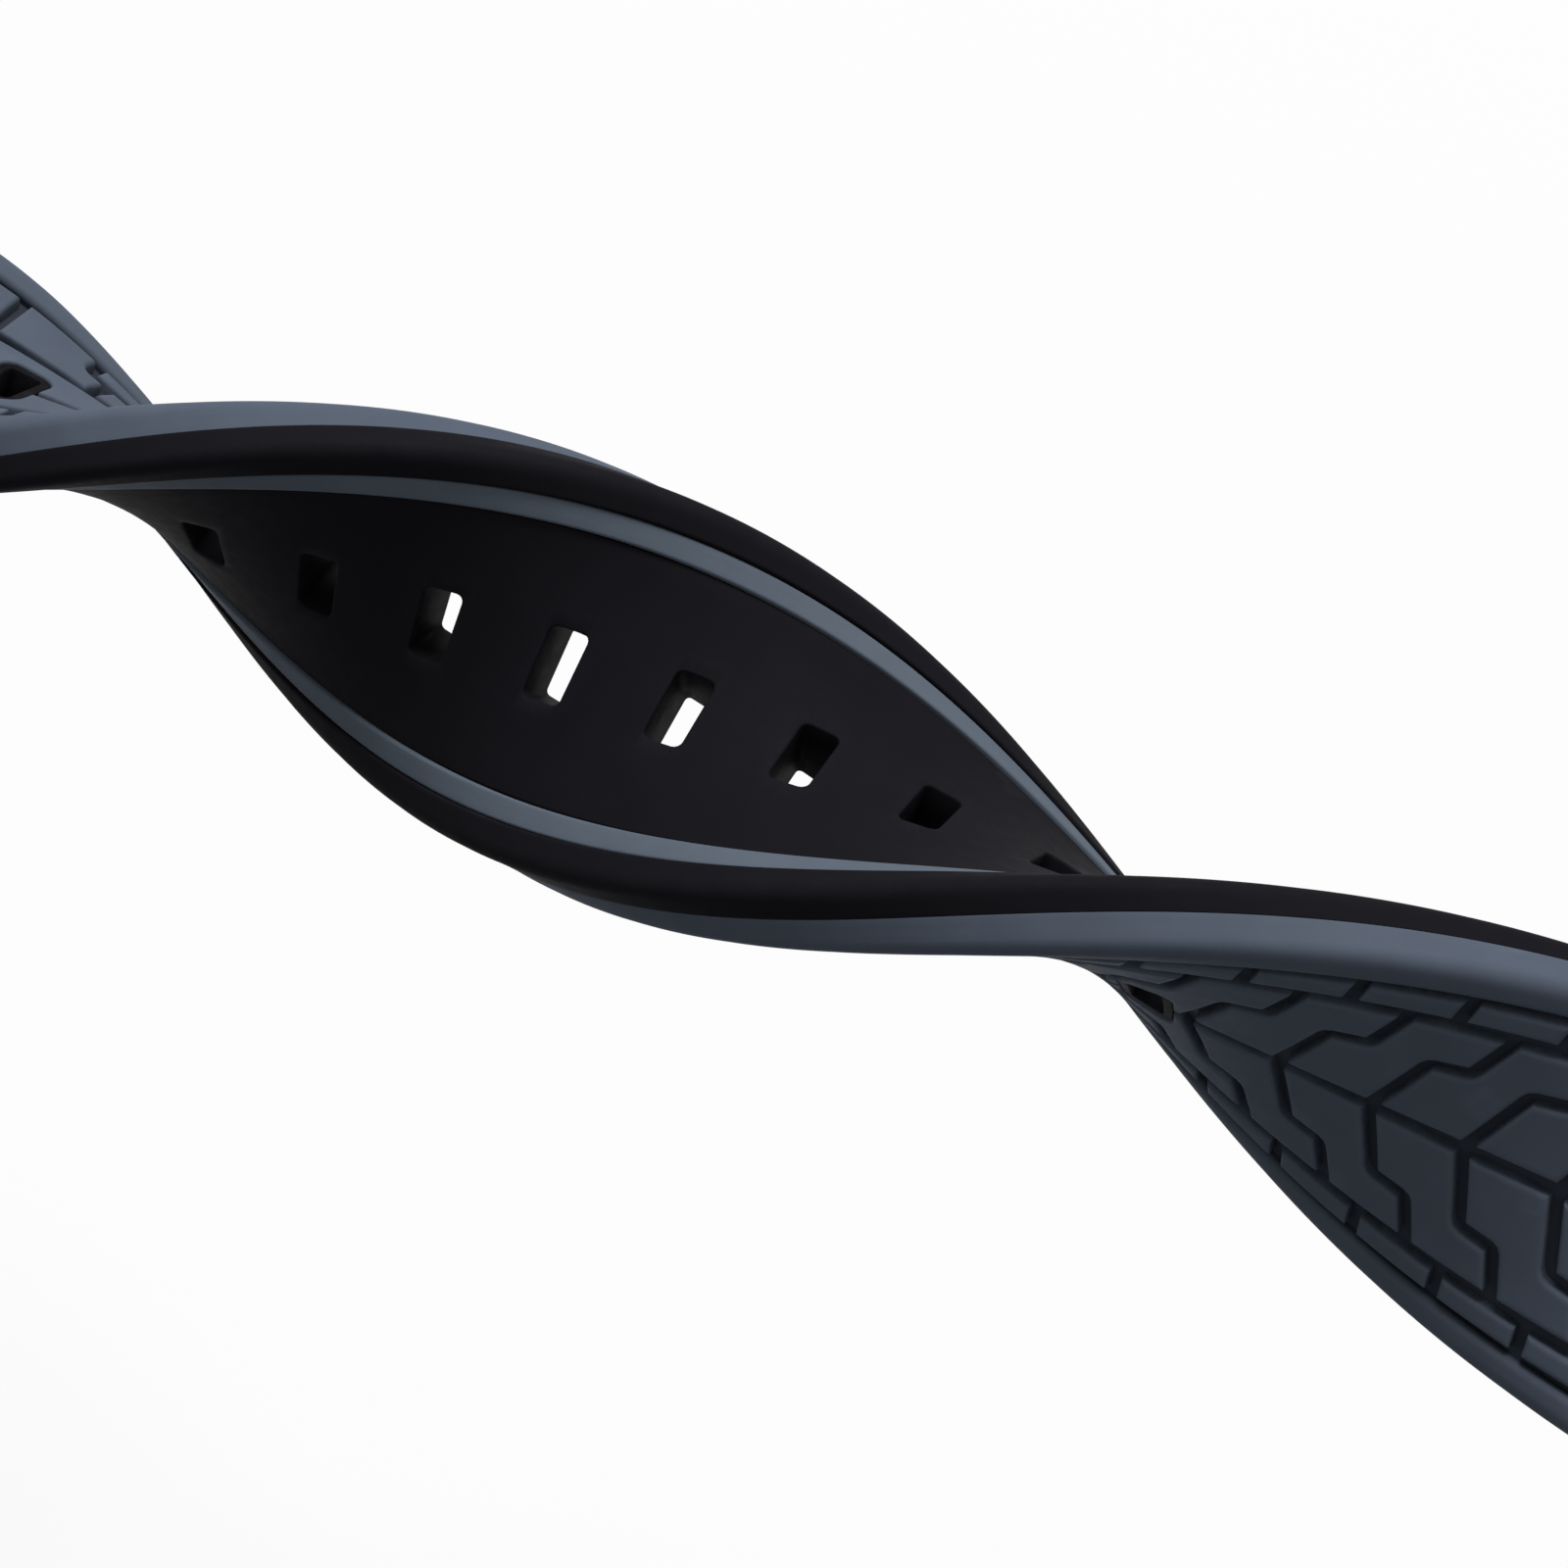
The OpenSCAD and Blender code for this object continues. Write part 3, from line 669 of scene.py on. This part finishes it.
def collars():
    """The black walls that line the holes through the tread."""
    return hole_rods([(-COLLAR_W, -0.5), (-COLLAR_W, COLLAR_TOP - 0.1),
                      (-COLLAR_W + 0.03, COLLAR_TOP - 0.03), (-COLLAR_W + 0.1, COLLAR_TOP)])


def hole_cutters():
    """The openings through the black body and its collars, flared where they leave the panel."""
    return hole_rods([(-0.12, -3), (-0.12, PANEL_N - 0.1), (-0.1, PANEL_N),
                      (-0.03, PANEL_N + 0.04), (0, PANEL_N + 0.12), (0.12, COLLAR_TOP - 0.1),
                      (0.04, COLLAR_TOP + 0.02), (0.04, 3)])


def collar_seats():
    """The wider openings in the tread, which the collars fill."""
    out = -COLLAR_W - COLLAR_GAP
    return hole_rods([(out, -1), (out, TREAD_T - 0.12), (out - 0.04, TREAD_T - 0.04),
                      (out - 0.14, TREAD_T + 0.01), (out - 0.2, 3)])


# The nose round a bar: where its round part starts, its soft sides, and its least corner
NOSE_ROUND_AT = -0.6
NOSE_SOFT = 0.4
SMALL_CORNER = 0.05

# The window of the release knob, and the knob's place and travel
KNOB_D = 1.0
KNOB_Y = 7.5
TIP_TRAVEL = 1.0
WINDOW_GAP = 0.3
WINDOW_CORNER = 0.3

# The buckle end of the short half, and the slot that its tongue turns in
BUCKLE_END_W = 2 * (half_width(SHORT_LEN) - 0.375)
TONGUE_W = 2.8
TONGUE_T = 1.2
SLOT_GAP = 0.3
TONGUE_SLOT_L = 2.4


def nose(width):
    """The black end around a bar: a round nose that runs into the strap's thickness."""
    r = END_D / 2
    back = -(TREAD_START - 0.02)
    corners = [(back, -BACK_T), (NOSE_ROUND_AT, -r)]
    corners += [(r * math.sin(a), -r * math.cos(a)) for a in map(math.radians, range(0, 181, 15))]
    corners += [(NOSE_ROUND_AT, r), (back, TREAD_T)]
    levels = soft_ends(-width / 2, width / 2, NOSE_SOFT)
    return prism(corners, SMALL_CORNER, levels, sideways, step=1.0)


def lug_nose():
    low = KNOB_Y - KNOB_D / 2 - TIP_TRAVEL - WINDOW_GAP
    high = KNOB_Y + KNOB_D / 2 + WINDOW_GAP
    window = prism(rectangle(-KNOB_D, KNOB_D, low, high), WINDOW_CORNER, [(0, -END_D), (0, 0)])
    return combined(nose(LUG_W - 2 * END_SIDE_GAP), [rod(BAR_HOLE_R, LUG_W), window], "DIFFERENCE")


def buckle_nose():
    half_slot = TONGUE_W / 2 + SLOT_GAP
    slot = box((-TONGUE_SLOT_L, -half_slot, -END_D), (END_D, half_slot, END_D))
    return combined(nose(BUCKLE_END_W), [rod(BAR_HOLE_R, LUG_W), slot], "DIFFERENCE")


def turned_to_short(shell):
    """From a bar's own frame, with the strap towards -X, to the short half's buckle end."""
    return shell.moved(lambda p: Vector((-SHORT_LEN - p.x, -p.y, p.z)))


# ---------------------------------------------------------------- materials
# Painted shade in the grooves and on the hole walls: how far a point lies down, from 0 to 1; how
# far down it is fully dark; and the share of its colour that the painted shade leaves there
DEPTH = "groove_depth"
DARK_FROM = 0.6
GROOVE_SHADE = 0.35


def colour(hex_code):
    """An sRGB code as a linear colour."""
    parts = [int(hex_code[i:i + 2], 16) / 255 for i in (1, 3, 5)]
    return [c / 12.92 if c <= 0.04045 else ((c + 0.055) / 1.055) ** 2.4 for c in parts] + [1]


def scaled(rgba, factor):
    return [c * factor for c in rgba[:3]] + [1]


class Material:
    """A node material, built by name."""

    def __init__(self, name):
        self.material = bpy.data.materials.new(name)
        self.material.use_nodes = True
        self.tree = self.material.node_tree
        self.shader = self.tree.nodes["Principled BSDF"]

    def node(self, kind, **values):
        made = self.tree.nodes.new(kind)
        for key, value in values.items():
            if key in made.inputs:
                made.inputs[key].default_value = value
            else:
                setattr(made, key, value)
        return made

    def link(self, source, target):
        self.tree.links.new(source, target)

    def coords(self):
        if not hasattr(self, "made_coords"):
            self.made_coords = self.node("ShaderNodeTexCoord").outputs["Object"]
        return self.made_coords

    def noise(self, scale, detail=2.0, rough=0.5, coords=None):
        texture = self.node("ShaderNodeTexNoise", Scale=scale, Detail=detail, Roughness=rough)
        self.link(coords or self.coords(), texture.inputs["Vector"])
        return texture.outputs["Fac"]

    def ramp(self, source, stops):
        """A ramp through (place, value), where a value is a grey or a colour."""
        made = self.node("ShaderNodeValToRGB")
        self.link(source, made.inputs["Fac"])
        points = made.color_ramp.elements
        while len(points) < len(stops):
            points.new(0.5)
        for point, (place, value) in zip(points, stops):
            point.position = place
            point.color = value if isinstance(value, (list, tuple)) else [value] * 3 + [1]
        return made.outputs["Color"]

    def spread(self, noise, low, high):
        """Most of a noise's range, spread from one value to the other."""
        return self.ramp(noise, [(0.3, low), (0.7, high)])

    def bump(self, height, strength, distance):
        made = self.node("ShaderNodeBump", Strength=strength, Distance=distance)
        self.link(height, made.inputs["Height"])
        self.link(made.outputs["Normal"], self.shader.inputs["Normal"])


def silicone(name, base, edge_wear_and_highlight, rough, specular):
    """Matt moulded rubber: faint cloudiness, painted shade in grooves and on hole walls, lighter
    edges that are partly rubbed and partly a painted highlight, fine grain.
    """
    made = Material(name)
    shader = made.shader
    cloud = made.spread(made.noise(350, 3.0, 0.6), scaled(base, 0.94), scaled(base, 1.06))
    # Painted shade: the colour is darkened where the depth attribute says a point lies down in a
    # groove or a hole
    depth = made.node("ShaderNodeAttribute", attribute_name=DEPTH)
    shade = made.ramp(depth.outputs["Fac"], [(0.0, 1.0), (DARK_FROM, GROOVE_SHADE)])
    deep = made.node("ShaderNodeMix", data_type="RGBA", blend_type="MULTIPLY", Factor=1.0)
    made.link(cloud, deep.inputs["A"])
    made.link(shade, deep.inputs["B"])

    # Lighter convex edges, in the edge colour: partly rubbed wear and partly a painted highlight on
    # the edges
    edge = made.ramp(made.node("ShaderNodeNewGeometry").outputs["Pointiness"],
                     [(0.505, 0.0), (0.56, 1.0)])
    edge_patches = made.ramp(made.noise(900, 4.0, 0.7), [(0.35, 0.1), (0.75, 0.6)])
    factor = made.node("ShaderNodeMath", operation="MULTIPLY")
    made.link(edge, factor.inputs[0])
    made.link(edge_patches, factor.inputs[1])
    mix = made.node("ShaderNodeMix", data_type="RGBA")
    made.link(factor.outputs[0], mix.inputs["Factor"])
    made.link(deep.outputs["Result"], mix.inputs["A"])
    mix.inputs["B"].default_value = edge_wear_and_highlight
    made.link(mix.outputs["Result"], shader.inputs["Base Color"])

    gloss = made.spread(made.noise(1400, 5.0, 0.6), rough - 0.05, rough + 0.05)
    made.link(gloss, shader.inputs["Roughness"])
    made.bump(made.noise(6500, 3.0, 0.6), 0.25, 0.00002)
    shader.inputs["Specular IOR Level"].default_value = specular
    return made.material


def steel(name, base, rough):
    """Brushed steel, with fine lines along x."""
    made = Material(name)
    shader = made.shader
    shader.inputs["Metallic"].default_value = 1.0
    stretch = made.node("ShaderNodeMapping")
    stretch.inputs["Scale"].default_value = (1, 12, 12)
    made.link(made.coords(), stretch.inputs["Vector"])
    lines = made.noise(700, 4.0, 0.6, stretch.outputs["Vector"])
    tint = made.spread(lines, scaled(base, 0.93), scaled(base, 1.04))
    made.link(tint, shader.inputs["Base Color"])
    made.link(made.spread(lines, rough - 0.06, rough + 0.06), shader.inputs["Roughness"])
    made.bump(lines, 0.12, 0.00001)
    return made.material


# The edge colours are lighter: partly rubbed wear, partly a painted highlight on the edges
BLACK = silicone("black_silicone", colour("#17161a"), edge_wear_and_highlight=colour("#252429"), rough=0.6,
                 specular=0.015)
GREY = silicone("grey_silicone", colour("#505865"), edge_wear_and_highlight=colour("#5d6674"), rough=0.62,
                specular=0.04)
# The stripes are of the grey silicone, given a lighter colour: painted light for the light that
# falls on their faces
LIT_STRIPE_GREY = silicone("stripe_silicone_lit", colour("#57606b"), edge_wear_and_highlight=colour("#636d79"), rough=0.6,
                       specular=0.06)
BUCKLE_STEEL = steel("buckle_steel", colour("#c4c6c9"), rough=0.3)
BAR_STEEL = steel("bar_steel", colour("#b4b6ba"), rough=0.36)


# ---------------------------------------------------------------- pieces
SHARP_FROM = math.radians(48)

# What counts as a groove of the tread, for its painted shade: above this height, this far in from
# the edge of the strap, and no further than this past the end of the floor
GROOVES_ABOVE = 1
GROOVES_IN = 1.0
GROOVES_PAST = 0.5
# The depth into a hole at which the painted shade on its wall is full
HOLE_DARK_AT = 0.4


def groove_depths(half, flat_tread):
    """For each point of a flat tread, how far down it lies in a groove: its painted shade. The
    outer edges stay 0.
    """
    return [clamped((TREAD_T - p.z) / GROOVE_D)
            if p.z > GROOVES_ABOVE and -p.x < half.pool_end + GROOVES_PAST
            and abs(p.y) < half_width(-p.x) - GROOVES_IN else 0.0 for p in flat_tread.points]


def hole_depths(flat_back):
    """For each point of the flat long back, how far in it lies on the wall of a hole: its painted
    shade.
    """
    reach = HOLE_W / 2 + COLLAR_W + 0.1
    return [clamped((p.z - PANEL_N) / HOLE_DARK_AT)
            if abs(p.y) < reach and p.x < HOLE_L - FIRST_HOLE else 0.0 for p in flat_back.points]


def piece(name, shell, material, body, slot, *nodes, depths=None):
    """A finished piece in metres, on its body, standing for its CAD nodes."""
    obj = as_object(name, shell, MM)
    if depths:
        obj.data.attributes.new(DEPTH, "FLOAT", "POINT").data.foreach_set("value", depths)
    for face in obj.data.polygons:
        face.use_smooth = True
    obj.data.set_sharp_from_angle(angle=SHARP_FROM)
    obj.data.materials.append(material)
    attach(obj, body)
    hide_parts(*nodes)
    return obj


long_back = combined(back_body(LONG), [collars()], "UNION")
long_back = combined(long_back, [hole_cutters()], "DIFFERENCE").join(lug_nose())
piece("long_back", LONG.placed(long_back), BLACK, "long_half", "black_silicone",
      "long_back_body", depths=hole_depths(long_back))

seats = collar_seats()
long_tread = combined(tread_base(LONG), [seats], "DIFFERENCE")
long_tread.join(combined(tread_blocks(LONG), [seats], "DIFFERENCE"))
piece("long_tread", LONG.placed(long_tread), GREY, "long_half", "grey_silicone",
      "long_tread_layer", depths=groove_depths(LONG, long_tread))

short_back = back_body(SHORT).join(lug_nose()).join(turned_to_short(buckle_nose()))
piece("short_back", SHORT.placed(short_back), BLACK, "short_half", "black_silicone",
      "short_back_body")

short_tread = tread_base(SHORT).join(tread_blocks(SHORT))
piece("short_tread", SHORT.placed(short_tread), GREY, "short_half", "grey_silicone",
      "short_tread_layer", depths=groove_depths(SHORT, short_tread))

for half in (LONG, SHORT):
    for side, word in ((-1, "left"), (1, "right")):
        piece(f"{half.name}_stripe_{word}_strip", half.placed(stripe(half, side)), LIT_STRIPE_GREY,
              f"{half.name}_half", "grey_silicone", f"{half.name}_stripe_{word}")

# Keepers: loops with soft edges, on the sizes of their solids
KEEPER_T = 1.3
KEEPER_SOFT = 0.38
KEEPER_CORNER = 1.75


def keeper(name, node, body):
    low, high = (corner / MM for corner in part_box(node))
    outline = rectangle(low.y, high.y, low.z, high.z)
    half_w = (high.x - low.x) / 2
    middle = (high.x + low.x) / 2
    section = rounded(rectangle(0, KEEPER_T, -half_w, half_w), KEEPER_SOFT, step=0.8, arc=22)
    rings = [[Vector((middle + s.y, p.x, p.y))
              for p in rounded(outline, KEEPER_CORNER, s.x, step=1.0, arc=12)] for s in section]
    piece(name, loft(rings, around=True), BLACK, body, "black_silicone", node)


keeper("keeper_loop_fixed", "fixed_keeper", "short_half")
keeper("keeper_loop_free", "free_keeper", "free_keeper")

# Buckle: a bent frame whose flat arms run into a round front bar, with an eye at each end
FRAME_IN = BUCKLE_END_W / 2 + 0.25
FRAME_CORNER = 3.0
FRAME_SIDES = 32
ARM_T = 1.8
ARM_W = 2.2
REACH = 10.5
FRONT_R = 1.1
EYE_R = 1.9
EYE_SOFT = 0.3
EYE_DEPTH = 1.1
EYE_SIDES = 48
PIN_HOLE_R = 0.45
# The power of the outline of an arm, nearly square, and of the front bar, round
ARM_POWER, FRONT_POWER = 5.0, 2.0


def at_buckle(shell):
    return shell.moved(lambda p: Vector((p.x + BUCKLE_X, p.y, p.z - SHORT_DROP)))


def frame_path():
    """Places (y, z) along the middle of the frame, and the share of roundness there."""
    arm_y = FRAME_IN + ARM_T / 2
    bend = FRAME_CORNER - FRONT_R
    centre_y, centre_z = arm_y - bend, bend - REACH
    path = [(-arm_y, z, 0.0) for z in (0, -2, -4, -6)]
    path += [(-centre_y + bend * math.cos(a), centre_z + bend * math.sin(a), share)
             for a, share in ((math.radians(180 + 90 * k / 10), k / 10) for k in range(11))]
    path += [(y, -REACH, 1.0) for y in (-4, -2, 0)]
    return path + [(-y, z, share) for y, z, share in path[-2::-1]]


def frame_shell():
    path = frame_path()
    rings = []
    for i, (y, z, share) in enumerate(path):
        before, after = path[max(0, i - 1)], path[min(len(path) - 1, i + 1)]
        along = Vector((0, after[0] - before[0], after[1] - before[1])).normalized()
        out = Vector((0, along.z, -along.y))
        half_x = ARM_W / 2
        half_out = ARM_T / 2 + (FRONT_R - ARM_T / 2) * share
        power = ARM_POWER + (FRONT_POWER - ARM_POWER) * share
        ring = []
        for k in range(FRAME_SIDES):
            a = 2 * math.pi * k / FRAME_SIDES
            c, s = math.cos(a), math.sin(a)
            size = (abs(c) ** power + abs(s) ** power) ** (-1 / power)
            ring.append(Vector((0, y, z)) + Vector((1, 0, 0)) * half_x * c * size
                        + out * half_out * s * size)
        rings.append(ring)
    made = loft(rings)
    eye = soft_ends(FRAME_IN, FRAME_IN + ARM_T, EYE_SOFT)
    for side in (-1, 1):
        made = combined(made, [lathe([(EYE_R - i, side * y) for i, y in eye], EYE_SIDES)], "UNION")
    return combined(made, [rod(PIN_HOLE_R, FRAME_IN + EYE_DEPTH, 24)], "DIFFERENCE")


piece("buckle_loop", at_buckle(frame_shell()), BUCKLE_STEEL, "buckle_frame", "buckle_steel",
      "buckle_frame")

# Tongue: a ring round the bar, and a shaft that rests on the front bar and reaches past it
TONGUE_RING_R = 1.75
TONGUE_SOFT = 0.28
TONGUE_PAST = 1.4
NEAR_X = FRONT_R + 0.02


def tongue_shell():
    far = NEAR_X + TONGUE_T
    end = -REACH - TONGUE_PAST
    shaft = [(-0.3, -1.0), (NEAR_X, -2.8), (NEAR_X, end), (NEAR_X + TONGUE_T / 2, end - 0.5),
             (far, end), (far, -2.2), (1.6, -0.4), (0.2, 0.2)]
    ring = [(TONGUE_RING_R * math.cos(a), TONGUE_RING_R * math.sin(a))
            for a in map(math.radians, range(0, 360, 9))]
    levels = soft_ends(-TONGUE_W / 2, TONGUE_W / 2, TONGUE_SOFT)
    whole = combined(prism(shaft, [0.3, 0.8, 0.3, 0.5, 0.3, 0.8, 0.3, 0.3], levels, sideways),
                     [prism(ring, SMALL_CORNER, levels, sideways, step=1.0)], "UNION")
    return combined(whole, [rod(BAR_HOLE_R, 3)], "DIFFERENCE")


piece("buckle_pin", at_buckle(tongue_shell()), BUCKLE_STEEL, "buckle_tongue", "buckle_steel",
      "buckle_tongue")

# Springs: each is two coils that meet in its middle
WIRE_R = 0.1
COIL_R = 0.53
COIL_TURNS = 2.5
COIL_STEPS = 16
WIRE_SIDES = 8


def half_spring(at, reach, side):
    """The coil of a spring at (x, z), from the middle to reach on one side."""
    rise = reach - WIRE_R
    lean = math.atan2(rise, COIL_TURNS * 2 * math.pi * COIL_R)
    count = round(COIL_TURNS * COIL_STEPS)
    rings = []
    for i in range(count + 1):
        turn = math.pi * (1 + side * 2 * i / COIL_STEPS)
        y = side * rise * i / count
        ring = []
        for k in range(WIRE_SIDES):
            a = 2 * math.pi * k / WIRE_SIDES
            r, w = COIL_R + WIRE_R * math.cos(a), WIRE_R * math.sin(a)
            ring.append(Vector((
                at[0] + r * math.cos(turn) + w * math.sin(lean) * math.sin(turn),
                y + w * math.cos(lean),
                at[1] + w * math.sin(lean) * math.cos(turn) - r * math.sin(turn))))
        rings.append(ring)
    return loft(rings)


for bar, body, left_joint, right_joint in (
        ("long", "long_half", "long_tip_press", "long_release_press"),
        ("short", "short_half", "short_release_press", "short_tip_press"),
        ("buckle", "short_half", "buckle_left_press", "buckle_right_press")):
    node = f"{bar}_bar_spring"
    low, high = (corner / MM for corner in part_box(node))
    place = ((low.x + high.x) / 2, (low.z + high.z) / 2)
    reach = high.y
    for side, word, joint in ((-1, "left", left_joint), (1, "right", right_joint)):
        coil = piece(f"{bar}_spring_{word}_coil", half_spring(place, reach, side), BAR_STEEL, body,
                     "bar_steel", node)
        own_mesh(coil)

# The other pieces of the spring bars keep their solids
for name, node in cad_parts.items():
    if "bar_" in name and not name.endswith("spring"):
        node.data.materials.clear()
        node.data.materials.append(BAR_STEEL)

# ---------------------------------------------------------------- floor, light and camera (metres)
FLOOR_Z = -0.06
FLOOR_SIZE = 4.0
FLOOR_WHITE = 0.88
AMBIENT = 0.4
WHITE = (1, 1, 1, 1)


def background_share(tree):
    """1 for what the camera, a mirror or glass sees, and 0 for light that falls on the object."""
    rays = tree.nodes.new("ShaderNodeLightPath")
    total = rays.outputs["Is Camera Ray"]
    for name in ("Is Glossy Ray", "Is Transmission Ray"):
        plus = tree.nodes.new("ShaderNodeMath")
        plus.operation = "ADD"
        plus.use_clamp = True
        tree.links.new(total, plus.inputs[0])
        tree.links.new(rays.outputs[name], plus.inputs[1])
        total = plus.outputs[0]
    return total


def floor_material():
    """White to the camera with a faint shadow, and a dark grey to the light that it throws back."""
    made = Material("floor_pale")
    bounce = made.shader
    bounce.inputs["Roughness"].default_value = 0.9
    bounce.inputs["Specular IOR Level"].default_value = 0.0
    made.link(made.spread(made.noise(3), colour("#464646"), colour("#4a4a4a")),
              bounce.inputs["Base Color"])
    pale = made.node("ShaderNodeBsdfDiffuse", Color=colour("#dcdcdc"))
    white = made.node("ShaderNodeEmission", Color=WHITE, Strength=1.0)
    seen = made.node("ShaderNodeMixShader")
    seen.inputs["Fac"].default_value = FLOOR_WHITE
    made.link(pale.outputs["BSDF"], seen.inputs[1])
    made.link(white.outputs["Emission"], seen.inputs[2])
    mix = made.node("ShaderNodeMixShader")
    made.link(background_share(made.tree), mix.inputs["Fac"])
    made.link(bounce.outputs["BSDF"], mix.inputs[1])
    made.link(seen.outputs["Shader"], mix.inputs[2])
    made.link(mix.outputs["Shader"], made.tree.nodes["Material Output"].inputs["Surface"])
    return made.material


floor_corners = rectangle(-FLOOR_SIZE / 2, FLOOR_SIZE / 2, -FLOOR_SIZE / 2, FLOOR_SIZE / 2)
floor = as_object("floor", Shell().add([(x, y, FLOOR_Z) for x, y in floor_corners], [[0, 1, 2, 3]]))
floor.data.materials.append(floor_material())

world = bpy.data.worlds.new("studio")
bpy.context.scene.world = world
world.use_nodes = True
sky = world.node_tree.nodes["Background"]
sky.inputs["Color"].default_value = WHITE
strength = world.node_tree.nodes.new("ShaderNodeMapRange")
world.node_tree.links.new(background_share(world.node_tree), strength.inputs["Value"])
strength.inputs["To Min"].default_value = AMBIENT
strength.inputs["To Max"].default_value = 1.0
world.node_tree.links.new(strength.outputs["Result"], sky.inputs["Strength"])

MIDDLE = Vector((-0.07, 0, 0))


def lamp(name, direction, distance, size, watts):
    """A round soft lamp that shines at the middle of the strap."""
    light = bpy.data.lights.new(name, "AREA")
    light.shape = "DISK"
    light.size = size
    light.energy = watts
    obj = bpy.data.objects.new(name, light)
    bpy.context.collection.objects.link(obj)
    towards = Vector(direction).normalized()
    obj.location = MIDDLE + towards * distance
    obj.rotation_euler = towards.to_track_quat("Z", "Y").to_euler()


lamp("key_behind", (-0.09, 0.48, 0.88), distance=0.9, size=0.45, watts=8)

# The camera, fitted to the outline of the strap in the photograph
CAMERA_RIGHT = Vector((0.87817, 0.47478, 0.05818))
CAMERA_DOWN = Vector((0.42760, -0.72470, -0.54032))
CAMERA_AT = Vector((-0.023296, -0.105135, 0.178620))
CAMERA_BACK = CAMERA_RIGHT.cross(-CAMERA_DOWN)
camera = bpy.data.objects.new("camera", bpy.data.cameras.new("camera"))
bpy.context.collection.objects.link(camera)
camera.data.sensor_width = 36
camera.data.lens = 112.5
camera.data.clip_start = 0.01
camera.matrix_world = Matrix.Translation(CAMERA_AT) @ Matrix(
    (CAMERA_RIGHT, -CAMERA_DOWN, CAMERA_BACK)).transposed().to_4x4()
bpy.context.scene.camera = camera
bpy.context.scene.view_settings.view_transform = "Standard"
